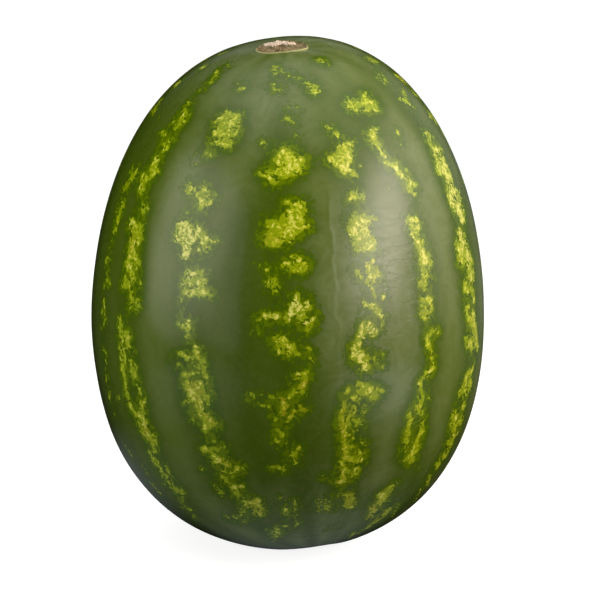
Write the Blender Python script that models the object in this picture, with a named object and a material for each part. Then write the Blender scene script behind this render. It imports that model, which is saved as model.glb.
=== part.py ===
"""Whole striped watermelon: a short, slightly egg-shaped fruit standing on its blossom end.

The fruit grew as one piece, so it is one closed solid. Its skin is a closed-form surface: a unit
direction, made fuller at the shoulders, tapered towards the stem end and scaled to the fruit's
real size. The stem end and the blossom end sit a little off the vertical axis, as they do on a
real melon. Metres, +Z up, origin on the axis in the plane of the small flat spot it rests on.
"""

import math

import bmesh
import bpy
from mathutils import Vector

# Driving dimensions of the body.
MAX_RADIUS = 0.110              # before the taper; the widest level measures almost the same
HALF_HEIGHT = 1.315 * MAX_RADIUS
STEM_END_TAPER = 0.078          # how much narrower the stem half is, and wider the blossom half
SHOULDER_FULLNESS = 0.0324      # swells the body half-way between its waist and its ends
CROWN_SWAY = 0.0159 * MAX_RADIUS    # the stem end drifts this far to +X, the other end to -X
CROWN_TILT = 0.0132 * MAX_RADIUS    # the crown stands this much higher on its +X side
REST_FLAT_RADIUS = 0.020        # small flat spot that the fruit stands on

# Where the two ends of the fruit sit, as leans away from the vertical axis.
STEM_LEAN_FORWARD = math.radians(10.5)
STEM_LEAN_LEFT = math.radians(2.0)
BLOSSOM_LEAN_FORWARD = math.radians(18.0)
BLOSSOM_LEAN_RIGHT = math.radians(8.0)

# Relief at the stem end, where the stalk came away.
FUNNEL_RADIUS = 0.022
FUNNEL_DEPTH = 0.0016
STEM_SCAR_RADIUS = 0.0147
STEM_SCAR_DEPTH = 0.0010
STEM_SCAR_EDGE = 0.0010
STUB_RADIUS = 0.0075
STUB_HEIGHT = 0.0014
STUB_EDGE = 0.0018

# Relief at the blossom end.
DIMPLE_RADIUS = 0.0095
DIMPLE_DEPTH = 0.0020
BLOSSOM_SCAR_RADIUS = 0.0040
BLOSSOM_SCAR_HEIGHT = 0.0006
BLOSSOM_SCAR_EDGE = 0.0012

# Fineness of the mesh.
SEGMENTS = 56
BODY_RING_STEP = math.radians(5.0)
STEM_RING_DISTANCES = (0.003, 0.006, 0.0075, 0.0093, 0.012, 0.0137, 0.0147, 0.0157, 0.019, 0.024)
BLOSSOM_RING_DISTANCES = (0.002, 0.004, 0.0055, 0.0085, 0.0125, 0.017)
PROBE_ANGLE = 1.0e-3            # step used to find slopes of the surface
CUT_TOLERANCE = 1.0e-7
MERGE_DISTANCE = 1.0e-5

# Average colour of the skin, in linear light.
RIND_COLOUR = (0.085, 0.135, 0.028, 1.0)
RIND_ROUGHNESS = 0.36


def clear_scene():
    """Remove whatever the open file holds."""
    for item in list(bpy.data.objects):
        bpy.data.objects.remove(item, do_unlink=True)


def leaned_direction(polar, longitude):
    """Unit direction at an angle from the stem end, in a frame whose ends lean off the axis."""
    x = math.sin(polar) * math.sin(longitude)
    y = -math.sin(polar) * math.cos(longitude)
    z = math.cos(polar)
    stem_share = 0.5 * (1.0 + z)
    blossom_share = 1.0 - stem_share
    forward = STEM_LEAN_FORWARD * stem_share - BLOSSOM_LEAN_FORWARD * blossom_share
    sideways = -(STEM_LEAN_LEFT * stem_share + BLOSSOM_LEAN_RIGHT * blossom_share)
    y, z = (y * math.cos(forward) - z * math.sin(forward),
            y * math.sin(forward) + z * math.cos(forward))
    x, z = (x * math.cos(sideways) + z * math.sin(sideways),
            -x * math.sin(sideways) + z * math.cos(sideways))
    return Vector((x, y, z))


def smooth_body(polar, longitude):
    """Point of the body without its small relief, centred on the middle of its height."""
    d = leaned_direction(polar, longitude)
    fullness = 1.0 + 4.0 * SHOULDER_FULLNESS * (d.x ** 2 + d.y ** 2) * d.z ** 2
    width = MAX_RADIUS * fullness * (1.0 - STEM_END_TAPER * fullness * d.z)
    return Vector((
        width * d.x + CROWN_SWAY * d.z ** 3,
        width * d.y,
        HALF_HEIGHT * fullness * d.z + CROWN_TILT * d.x * d.z,
    ))


def outward_normal(polar, longitude):
    """Outward unit normal of the smooth body."""
    polar = min(max(polar, PROBE_ANGLE), math.pi - PROBE_ANGLE)
    here = smooth_body(polar, longitude)
    down = smooth_body(polar + PROBE_ANGLE, longitude) - here
    around = smooth_body(polar, longitude + PROBE_ANGLE) - here
    return down.cross(around).normalized()


def plateau(distance, radius, edge):
    """One inside the radius, easing to zero over the width of the edge."""
    t = min(max((distance - radius + 0.5 * edge) / edge, 0.0), 1.0)
    return 1.0 - t * t * (3.0 - 2.0 * t)


def bell(distance, radius):
    """Soft round fall-off."""
    return math.exp(-(distance / radius) ** 2)


def relief(point, stem_end, blossom_end):
    """Height of the small features above the smooth body."""
    from_stem = (point - stem_end).length
    from_blossom = (point - blossom_end).length
    return (
        - FUNNEL_DEPTH * bell(from_stem, FUNNEL_RADIUS)
        - STEM_SCAR_DEPTH * plateau(from_stem, STEM_SCAR_RADIUS, STEM_SCAR_EDGE)
        + STUB_HEIGHT * plateau(from_stem, STUB_RADIUS, STUB_EDGE)
        - DIMPLE_DEPTH * bell(from_blossom, DIMPLE_RADIUS)
        + BLOSSOM_SCAR_HEIGHT * plateau(from_blossom, BLOSSOM_SCAR_RADIUS, BLOSSOM_SCAR_EDGE)
    )


def skin_point(polar, longitude, stem_end, blossom_end):
    """Point of the finished skin."""
    here = smooth_body(polar, longitude)
    return here + outward_normal(polar, longitude) * relief(here, stem_end, blossom_end)


def ring_angles():
    """Angles of the mesh's rings from the stem end, closer together at the two scars."""
    stem_reach = (smooth_body(PROBE_ANGLE, 0.0) - smooth_body(0.0, 0.0)).length / PROBE_ANGLE
    blossom_reach = (
        smooth_body(math.pi - PROBE_ANGLE, 0.0) - smooth_body(math.pi, 0.0)
    ).length / PROBE_ANGLE
    near_stem = [d / stem_reach for d in STEM_RING_DISTANCES]
    near_blossom = [math.pi - d / blossom_reach for d in reversed(BLOSSOM_RING_DISTANCES)]
    span = near_blossom[0] - near_stem[-1]
    steps = round(span / BODY_RING_STEP)
    between = [near_stem[-1] + span * i / steps for i in range(1, steps)]
    return near_stem + between + near_blossom


def build_skin(bm):
    """Lay rings of vertices from the stem end to the blossom end and close them with faces."""
    stem_end = smooth_body(0.0, 0.0)
    blossom_end = smooth_body(math.pi, 0.0)
    top = bm.verts.new(skin_point(0.0, 0.0, stem_end, blossom_end))
    bottom = bm.verts.new(skin_point(math.pi, 0.0, stem_end, blossom_end))
    rings = []
    for polar in ring_angles():
        rings.append([
            bm.verts.new(skin_point(polar, math.tau * i / SEGMENTS, stem_end, blossom_end))
            for i in range(SEGMENTS)
        ])
    for i in range(SEGMENTS):
        j = (i + 1) % SEGMENTS
        bm.faces.new((top, rings[0][i], rings[0][j]))
        bm.faces.new((bottom, rings[-1][j], rings[-1][i]))
        for upper, lower in zip(rings, rings[1:]):
            bm.faces.new((upper[i], lower[i], lower[j], upper[j]))


def cut_rest_flat(bm):
    """Slice off the lowest cap, which leaves the flat spot it stands on, and bring that to z = 0."""
    reach = REST_FLAT_RADIUS / (MAX_RADIUS * (1.0 + STEM_END_TAPER))
    flat_level = -HALF_HEIGHT * math.sqrt(1.0 - reach ** 2)
    cut = bmesh.ops.bisect_plane(
        bm,
        geom=bm.verts[:] + bm.edges[:] + bm.faces[:],
        dist=CUT_TOLERANCE,
        plane_co=(0.0, 0.0, flat_level),
        plane_no=(0.0, 0.0, -1.0),
        clear_outer=True,
    )
    rim = [item for item in cut["geom_cut"] if isinstance(item, bmesh.types.BMEdge)]
    for edge in rim:
        for corner in edge.verts:
            corner.co.z = flat_level
    bmesh.ops.edgeloop_fill(bm, edges=rim)
    bmesh.ops.remove_doubles(bm, verts=bm.verts, dist=MERGE_DISTANCE)
    bmesh.ops.translate(bm, verts=bm.verts, vec=(0.0, 0.0, -flat_level))
    bmesh.ops.recalc_face_normals(bm, faces=bm.faces)


def rind_material():
    """Waxy green skin."""
    material = bpy.data.materials.new("rind")
    material.use_nodes = True
    shader = material.node_tree.nodes["Principled BSDF"]
    shader.inputs["Base Color"].default_value = RIND_COLOUR
    shader.inputs["Roughness"].default_value = RIND_ROUGHNESS
    shader.inputs["Metallic"].default_value = 0.0
    return material


def make_watermelon():
    """Build the one solid of the fruit."""
    bm = bmesh.new()
    build_skin(bm)
    cut_rest_flat(bm)
    mesh = bpy.data.meshes.new("watermelon")
    bm.to_mesh(mesh)
    bm.free()
    mesh.shade_smooth()
    mesh.set_sharp_from_angle(angle=math.radians(50.0))
    mesh.materials.append(rind_material())
    fruit = bpy.data.objects.new("watermelon", mesh)
    bpy.context.scene.collection.objects.link(fruit)
    return fruit


clear_scene()
make_watermelon()
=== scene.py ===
"""Whole striped watermelon: waxy rind with broken pale stripes, corky scars and a plain studio.

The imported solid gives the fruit's place and size. The rind is a smooth egg form made by geometry
nodes, whose growth directions (angle from the stem end, angle round the fruit) carry every mark.
All lengths are metres unless a name says otherwise; angles of marks are degrees.
"""

import logging
import math
from dataclasses import dataclass, field, replace
from enum import Enum

import bpy
import numpy as np
from mathutils import Matrix, Quaternion, Vector

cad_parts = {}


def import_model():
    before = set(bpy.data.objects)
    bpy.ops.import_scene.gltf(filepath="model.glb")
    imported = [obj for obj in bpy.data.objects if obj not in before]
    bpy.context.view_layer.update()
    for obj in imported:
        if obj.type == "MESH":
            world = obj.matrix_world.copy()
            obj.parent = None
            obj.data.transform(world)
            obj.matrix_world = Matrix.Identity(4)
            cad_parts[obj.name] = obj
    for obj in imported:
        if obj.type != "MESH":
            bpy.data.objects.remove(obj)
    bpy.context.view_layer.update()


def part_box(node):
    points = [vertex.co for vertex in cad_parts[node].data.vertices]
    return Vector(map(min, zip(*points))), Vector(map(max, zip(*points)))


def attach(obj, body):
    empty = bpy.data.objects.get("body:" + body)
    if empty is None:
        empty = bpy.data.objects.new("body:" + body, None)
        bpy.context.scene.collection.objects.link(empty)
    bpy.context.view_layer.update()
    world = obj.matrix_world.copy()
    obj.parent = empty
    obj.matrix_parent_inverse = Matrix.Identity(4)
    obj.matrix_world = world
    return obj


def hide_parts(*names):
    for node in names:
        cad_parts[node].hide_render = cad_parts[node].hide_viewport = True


LOG = logging.getLogger("watermelon")
NODE = "watermelon"
BODY = "root"
MM = 0.001
TAU = math.tau
STEM_POLAR = 0.0
BLOSSOM_POLAR = 180.0
STEM_SEAT_RADIUS = 14.6 * MM
BLOSSOM_SEAT_RADIUS = 5.0 * MM
SKIN_CURVE_RADIUS = 83.0 * MM
BULGE_GAIN = 4.0

Socket = bpy.types.NodeSocket
Value = float | Socket
Array = np.ndarray
Range = tuple[float, float]
Noise = tuple[float, ...]


# ------------ small tools


def smoothstep(low: float, high: float, value: Array) -> Array:
    """Ease from zero at low to one at high."""
    t = np.clip((value - low) / (high - low), 0.0, 1.0)
    return t * t * (3.0 - 2.0 * t)


def bell(distance: Array, radius: float) -> Array:
    """Soft round fall-off from one."""
    return np.exp(-((distance / radius) ** 2))


def linear(red: int, green: int, blue: int) -> tuple[float, float, float, float]:
    """Colour in linear light.

    Args:
        red: display value, 0 to 255.
        green: display value, 0 to 255.
        blue: display value, 0 to 255.

    Returns:
        The linear colour with full alpha.
    """
    def channel(value: int) -> float:
        c = value / 255.0
        return c / 12.92 if c <= 0.04045 else ((c + 0.055) / 1.055) ** 2.4

    return (channel(red), channel(green), channel(blue), 1.0)


class Waves:
    """Smooth seeded unevenness in space, as a sum of plane waves."""

    def __init__(self, seed: int, wavelength: float, count: int = 24) -> None:
        """Draw the waves.

        Args:
            seed: fixes the draw.
            wavelength: typical distance between crests.
            count: how many waves are summed.
        """
        rng = np.random.default_rng(seed)
        heading = rng.normal(size=(count, 3))
        heading /= np.linalg.norm(heading, axis=1, keepdims=True)
        pitch = rng.uniform(0.7, 1.5, size=(count, 1))
        self.vectors = heading * pitch * TAU / wavelength
        self.phases = rng.uniform(0.0, TAU, size=count)
        self.gain = math.sqrt(2.0 / count)

    def at(self, points: Array) -> Array:
        """Values at the points, mostly between minus two and two."""
        return np.sin(points @ self.vectors.T + self.phases).sum(axis=1) * self.gain


# ------------ node trees


class Graph:
    """Thin helper that adds and links nodes in one tree."""

    def __init__(self, tree: bpy.types.NodeTree) -> None:
        """Wrap a tree.

        Args:
            tree: a material, world, shader group or geometry tree.
        """
        self.tree = tree

    def add(self, kind: str, links: dict | None = None, **settings) -> bpy.types.Node:
        """Add a node.

        Args:
            kind: the node's type name.
            links: input name or index to a value or a socket.
            **settings: properties set on the node first.

        Returns:
            The new node.
        """
        node = self.tree.nodes.new(kind)
        for name, value in settings.items():
            setattr(node, name, value)
        for key, value in (links or {}).items():
            self.feed(node, key, value)
        return node

    def feed(self, node: bpy.types.Node, key: str | int, value) -> None:
        """Link a socket to an input or set its value.

        Args:
            node: the node that receives it.
            key: input name or index; a name takes the first enabled input.
            value: a socket, or a plain value for the input.
        """
        if isinstance(key, int):
            target = node.inputs[key]
        else:
            target = next(s for s in node.inputs if s.name == key and s.enabled)
        if isinstance(value, bpy.types.NodeSocket):
            self.tree.links.new(value, target)
        else:
            target.default_value = value

    def math(self, operation: str, *values: Value) -> Socket:
        """Result of one Math node."""
        return self.add("ShaderNodeMath", dict(enumerate(values)), operation=operation).outputs[0]

    def sum(self, *values: Value) -> Socket:
        """Values added together."""
        total = values[0]
        for value in values[1:]:
            total = self.math("ADD", total, value)
        return total

    def product(self, *values: Value) -> Socket:
        """Values multiplied together."""
        total = values[0]
        for value in values[1:]:
            total = self.math("MULTIPLY", total, value)
        return total

    def minus(self, first: Value, second: Value) -> Socket:
        """First value less the second."""
        return self.math("SUBTRACT", first, second)

    def separate(self, vector: Socket) -> tuple[Socket, Socket, Socket]:
        """Three parts of a vector."""
        return tuple(self.add("ShaderNodeSeparateXYZ", {0: vector}).outputs)

    def combine(self, x: Value, y: Value, z: Value) -> Socket:
        """Vector from three parts."""
        return self.add("ShaderNodeCombineXYZ", {0: x, 1: y, 2: z}).outputs[0]

    def vector(self, operation: str, first, second=None) -> Socket:
        """Vector result of one Vector Math node."""
        links = {0: first} if second is None else {0: first, 1: second}
        return self.add("ShaderNodeVectorMath", links, operation=operation).outputs[0]

    def ramp(self, value: Socket, low: Value, high: Value) -> Socket:
        """Ease from zero at low to one at high."""
        node = self.add(
            "ShaderNodeMapRange",
            {"Value": value, "From Min": low, "From Max": high},
            interpolation_type="SMOOTHSTEP",
        )
        return node.outputs[0]

    def span(self, value: Socket, low: float, high: float) -> Socket:
        """Spread a zero-to-one value over a range."""
        return self.add("ShaderNodeMapRange", {"Value": value, "To Min": low, "To Max": high}).outputs[0]

    def mix(self, share: Value, first, second, blend: str = "MIX") -> Socket:
        """Blend of two colours.

        Args:
            share: how much of the second is taken.
            first: colour or socket under it.
            second: colour or socket over it.
            blend: name of the blend mode.

        Returns:
            The blended colour.
        """
        node = self.add("ShaderNodeMix", data_type="RGBA", blend_type=blend)
        for key, value in zip(("Factor", "A", "B"), (share, first, second)):
            self.feed(node, key, value)
        return next(s for s in node.outputs if s.enabled)

    def noise(self, place: Socket, scale: float, detail: float = 4.0, roughness: float = 0.55,
              warp: float = 0.0) -> Socket:
        """Cloudy noise, zero to one.

        Args:
            place: coordinates.
            scale: cells per metre.
            detail: octaves.
            roughness: strength of the finer octaves.
            warp: how strongly it is bent by itself.

        Returns:
            The noise value.
        """
        links = {"Vector": place, "Scale": scale, "Detail": detail, "Roughness": roughness,
                 "Distortion": warp}
        return self.add("ShaderNodeTexNoise", links).outputs["Fac"]

    def attribute(self, name: str) -> Socket:
        """A painted value of the piece."""
        return self.add("ShaderNodeAttribute", attribute_name=name).outputs["Fac"]


def new_group(name: str, kind: str, inputs: dict, outputs: dict) -> tuple[Graph, Socket, Socket]:
    """Make a node group with named sockets.

    Args:
        name: the group's name.
        kind: "ShaderNodeTree" or "GeometryNodeTree".
        inputs: input name to (socket type, default or None).
        outputs: output name to socket type.

    Returns:
        The graph, its group input node and its group output node.
    """
    tree = bpy.data.node_groups.new(name, kind)
    for label, (socket_type, default) in inputs.items():
        made = tree.interface.new_socket(name=label, in_out="INPUT", socket_type=socket_type)
        if default is not None:
            made.default_value = default
    for label, socket_type in outputs.items():
        tree.interface.new_socket(name=label, in_out="OUTPUT", socket_type=socket_type)
    graph = Graph(tree)
    return graph, graph.add("NodeGroupInput"), graph.add("NodeGroupOutput")


def grown_mesh(name: str, graph: Graph, values: dict) -> bpy.types.Mesh:
    """Evaluate a geometry tree once and keep its result as a plain mesh.

    Args:
        name: name of the mesh.
        graph: the tree, with a Geometry output.
        values: input name to value.

    Returns:
        The plain mesh, with its attributes.
    """
    carrier = bpy.data.objects.new(name, bpy.data.meshes.new(name + "_carrier"))
    link(carrier)
    modifier = carrier.modifiers.new("grow", "NODES")
    modifier.node_group = graph.tree
    for item in graph.tree.interface.items_tree:
        if item.in_out == "INPUT" and item.name in values:
            modifier[item.identifier] = values[item.name]
    depsgraph = bpy.context.evaluated_depsgraph_get()
    mesh = bpy.data.meshes.new_from_object(
        carrier.evaluated_get(depsgraph), preserve_all_data_layers=True, depsgraph=depsgraph
    )
    mesh.name = name
    bpy.data.objects.remove(carrier, do_unlink=True)
    return mesh


def link(thing: bpy.types.Object) -> None:
    """Put an object into the scene."""
    bpy.context.scene.collection.objects.link(thing)


def vertex_array(mesh: bpy.types.Mesh) -> Array:
    """Vertex places of a mesh, one row each."""
    places = np.empty(len(mesh.vertices) * 3, dtype=np.float32)
    mesh.vertices.foreach_get("co", places)
    return places.reshape(-1, 3).astype(float)


def normal_array(mesh: bpy.types.Mesh) -> Array:
    """Vertex normals of a mesh, one row each."""
    normals = np.empty(len(mesh.vertices) * 3, dtype=np.float32)
    mesh.vertex_normals.foreach_get("vector", normals)
    return normals.reshape(-1, 3).astype(float)


def set_vertices(mesh: bpy.types.Mesh, places: Array) -> None:
    """Move the vertices of a mesh."""
    mesh.vertices.foreach_set("co", places.astype(np.float32).ravel())
    mesh.update()


def paint(mesh: bpy.types.Mesh, name: str, values: Array) -> None:
    """Store one value for each vertex under a name that materials can read."""
    layer = mesh.attributes.new(name, "FLOAT", "POINT")
    layer.data.foreach_set("value", values.astype(np.float32))


def finish_piece(name: str, mesh: bpy.types.Mesh) -> bpy.types.Object:
    """Link a mesh as a piece that rides on the fruit.

    Args:
        name: the piece's name.
        mesh: its plain mesh, in place.

    Returns:
        The piece.
    """
    piece = bpy.data.objects.new(name, mesh)
    link(piece)
    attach(piece, BODY)
    LOG.info("%s: %d faces", name, len(mesh.polygons))
    return piece


# ------------ body form


@dataclass(frozen=True)
class BodyForm:
    """Proportions of the smooth fruit, as shares of its greatest radius."""

    radius: float
    half_height_share: float = 1.315
    taper: float = 0.078
    fullness: float = 0.0324
    sway_share: float = 0.0159
    tilt_share: float = 0.0132
    rest_radius: float = 0.020
    stem_lean_forward: float = math.radians(10.5)
    stem_lean_left: float = math.radians(2.0)
    blossom_lean_forward: float = math.radians(18.0)
    blossom_lean_right: float = math.radians(8.0)

    @classmethod
    def from_box(cls, low: Vector, high: Vector) -> "BodyForm":
        """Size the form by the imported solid's box.

        Args:
            low: lowest corner of the solid.
            high: highest corner of the solid.

        Returns:
            The form that fills the box.
        """
        unit = cls(radius=1.0)
        steps = np.linspace(-1.0, 1.0, 2001)
        rings = np.sqrt(1.0 - steps**2)
        full = 1.0 + BULGE_GAIN * unit.fullness * rings**2 * steps**2
        widest = (rings * full * (1.0 - unit.taper * full * steps)).max()
        return cls(radius=(high.x - low.x) / 2.0 / widest)

    @property
    def half_height(self) -> float:
        """Half the height of the form before it is flattened at its rest."""
        return self.half_height_share * self.radius

    @property
    def centre_level(self) -> float:
        """Height of the form's centre above the surface it rests on."""
        reach = self.rest_radius / (self.radius * (1.0 + self.taper))
        return self.half_height * math.sqrt(1.0 - reach**2)


class SkinTree:
    """Geometry nodes that wrap an even grid round the body form."""

    GRID_VERTICES = 128
    FRONT_FOCUS = 0.66
    REST_BLEND = 0.0008

    def __init__(self, form: BodyForm) -> None:
        """Keep the proportions.

        Args:
            form: the fruit's smooth form.
        """
        self.form = form

    def inputs(self) -> dict[str, float]:
        """Named sizes of the tree and their values."""
        form = self.form
        return {
            "Radius": form.radius,
            "Half Height": form.half_height,
            "Taper": form.taper,
            "Fullness": form.fullness,
            "Crown Sway": form.sway_share * form.radius,
            "Crown Tilt": form.tilt_share * form.radius,
            "Stem Lean Forward": form.stem_lean_forward,
            "Stem Lean Left": form.stem_lean_left,
            "Blossom Lean Forward": form.blossom_lean_forward,
            "Blossom Lean Right": form.blossom_lean_right,
            "Centre Level": form.centre_level,
            "Front Focus": self.FRONT_FOCUS,
        }

    def grid_direction(self, graph: Graph, focus: Socket) -> Socket:
        """Even directions over the sphere, drawn a little closer together at the front.

        Args:
            graph: the tree.
            focus: how close the front's directions are to each other.

        Returns:
            Unit directions from the fruit's middle, in its growth frame.
        """
        place = graph.add("GeometryNodeInputPosition").outputs[0]
        eased = [
            graph.math("TANGENT", graph.product(part, math.pi / 4.0))
            for part in graph.separate(place)
        ]
        x, y, z = graph.separate(graph.vector("NORMALIZE", graph.combine(*eased)))
        spread = graph.math("DIVIDE", focus, graph.minus(1.0, y))
        flat_x, flat_z = graph.product(x, spread), graph.product(z, spread)
        square = graph.sum(graph.product(flat_x, flat_x), graph.product(flat_z, flat_z))
        whole = graph.sum(1.0, square)
        return graph.combine(
            graph.math("DIVIDE", graph.product(2.0, flat_x), whole),
            graph.math("DIVIDE", graph.minus(square, 1.0), whole),
            graph.math("DIVIDE", graph.product(2.0, flat_z), whole),
        )

    def turned(self, graph: Graph, a: Socket, b: Socket, angle: Socket) -> tuple[Socket, Socket]:
        """Turn the pair (a, b) by an angle, a towards b.

        Args:
            graph: the tree.
            a: first part.
            b: second part.
            angle: how far, in radians.

        Returns:
            The turned pair.
        """
        cosine, sine = graph.math("COSINE", angle), graph.math("SINE", angle)
        return (
            graph.minus(graph.product(a, cosine), graph.product(b, sine)),
            graph.sum(graph.product(a, sine), graph.product(b, cosine)),
        )

    def body_place(self, graph: Graph, growth: Socket, given: bpy.types.Node) -> Socket:
        """Place of each growth direction on the skin.

        Args:
            graph: the tree.
            growth: unit directions in the growth frame.
            given: the group input node.

        Returns:
            Places on the skin.
        """
        size = given.outputs
        x, y, z = graph.separate(growth)
        stem = graph.product(graph.sum(z, 1.0), 0.5)
        blossom = graph.minus(1.0, stem)
        forward = graph.minus(
            graph.product(size["Stem Lean Forward"], stem),
            graph.product(size["Blossom Lean Forward"], blossom),
        )
        sideways = graph.sum(
            graph.product(size["Stem Lean Left"], stem),
            graph.product(size["Blossom Lean Right"], blossom),
        )
        y, z = self.turned(graph, y, z, forward)
        z, x = self.turned(graph, z, x, graph.product(sideways, -1.0))
        level = graph.product(z, z)
        ring = graph.minus(1.0, level)
        full = graph.sum(1.0, graph.product(BULGE_GAIN, size["Fullness"], ring, level))
        slim = graph.minus(1.0, graph.product(size["Taper"], full, z))
        width = graph.product(size["Radius"], full, slim)
        height = graph.sum(
            graph.product(size["Half Height"], full, z),
            graph.product(size["Crown Tilt"], x, z),
            size["Centre Level"],
        )
        return graph.combine(
            graph.sum(graph.product(width, x), graph.product(size["Crown Sway"], level, z)),
            graph.product(width, y),
            graph.math("SMOOTH_MAX", height, 0.0, self.REST_BLEND),
        )

    def grow(self, name: str, material: bpy.types.Material) -> bpy.types.Mesh:
        """Make the smooth skin.

        Args:
            name: name of the mesh.
            material: its finish.

        Returns:
            A closed mesh whose vertices keep their growth directions.
        """
        sizes = self.inputs()
        sockets = {label: ("NodeSocketFloat", None) for label in sizes}
        sockets["Finish"] = ("NodeSocketMaterial", None)
        graph, given, result = new_group(
            "melon_skin", "GeometryNodeTree", sockets, {"Geometry": "NodeSocketGeometry"}
        )
        block = graph.add(
            "GeometryNodeMeshCube",
            {"Size": (2.0, 2.0, 2.0), "Vertices X": self.GRID_VERTICES,
             "Vertices Y": self.GRID_VERTICES, "Vertices Z": self.GRID_VERTICES},
        )
        growth = self.grid_direction(graph, given.outputs["Front Focus"])
        kept = graph.add(
            "GeometryNodeStoreNamedAttribute",
            {"Geometry": block.outputs["Mesh"], "Name": "growth", "Value": growth},
            data_type="FLOAT_VECTOR",
        )
        stored = graph.add("GeometryNodeInputNamedAttribute", {"Name": "growth"}, data_type="FLOAT_VECTOR")
        placed = graph.add(
            "GeometryNodeSetPosition",
            {"Geometry": kept.outputs[0],
             "Position": self.body_place(graph, stored.outputs["Attribute"], given)},
        )
        smooth = graph.add("GeometryNodeSetShadeSmooth", {"Geometry": placed.outputs[0]})
        real = graph.add("GeometryNodeRealizeInstances", {"Geometry": smooth.outputs[0]})
        dressed = graph.add(
            "GeometryNodeSetMaterial",
            {"Geometry": real.outputs[0], "Material": given.outputs["Finish"]},
        )
        graph.feed(result, "Geometry", dressed.outputs[0])
        return grown_mesh(name, graph, {**sizes, "Finish": material})


# ------------ stripes


@dataclass(frozen=True)
class Stroke:
    """One pale mark: a thick line between two places on the skin."""

    polar: float
    longitude: float
    polar_end: float
    longitude_end: float
    half_width_mm: float
    strength: float
    tan: float = 0.0


def dash(polar: float, longitude: float, polar_end: float, longitude_end: float,
         half_width_mm: float, strength: float, tan: float = 0.0) -> Stroke:
    """A long mark."""
    return Stroke(polar, longitude, polar_end, longitude_end, half_width_mm, strength, tan)


def dot(polar: float, longitude: float, half_width_mm: float, strength: float,
        tan: float = 0.0) -> Stroke:
    """A round mark."""
    return Stroke(polar, longitude, polar, longitude, half_width_mm, strength, tan)


FAR_LEFT = (
    dot(41, -72, 1.5, .3), dash(54, -65, 54.5, -64, 1.2, .5), dash(55, -68, 55.8, -66, 1.2, .5),
    dot(56.5, -65, 1.2, .45), dash(57.5, -69, 59, -67.5, 1.2, .5), dot(56, -66, 5, .3),
    dash(61.5, -65, 62.5, -64, 1.6, .6), dash(63.5, -67, 65, -65, 1.2, .5),
    dash(65.5, -65, 67, -64, 1.5, .6), dash(68.5, -65, 69, -64.5, 1.1, .6),
    dash(71, -66, 72, -65.5, 1, .45), dash(74.8, -67, 75, -64.5, 1, .5), dot(76, -66.5, 1.1, .5),
    dash(78, -65.5, 80, -64.5, 1.1, .45), dash(80, -64, 80.3, -62, .8, .45),
    dash(81.5, -66, 86, -66, 1.1, .5), dash(87, -65, 88.5, -64.5, 1.3, .5),
    dot(87.5, -67.5, 1.2, .4), dot(90.3, -65.5, 1, .45), dot(91.3, -68.3, 1, .5),
    dash(96, -68, 96.3, -64.5, .9, .5), dash(98, -65, 104, -68, .8, .4),
    dot(102.5, -65.5, .9, .4), dash(106.5, -67, 107.5, -68.5, 1.4, .5),
    dash(107.5, -62, 107.5, -60.5, 1, .35), dot(112, -68, 1.8, .4),
    dash(119.5, -70, 122, -69, 1.5, .35), dash(126, -64.5, 128, -65, 1.3, .35),
    dash(130, -67, 133.5, -66, 1.5, .4),
)

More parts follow.
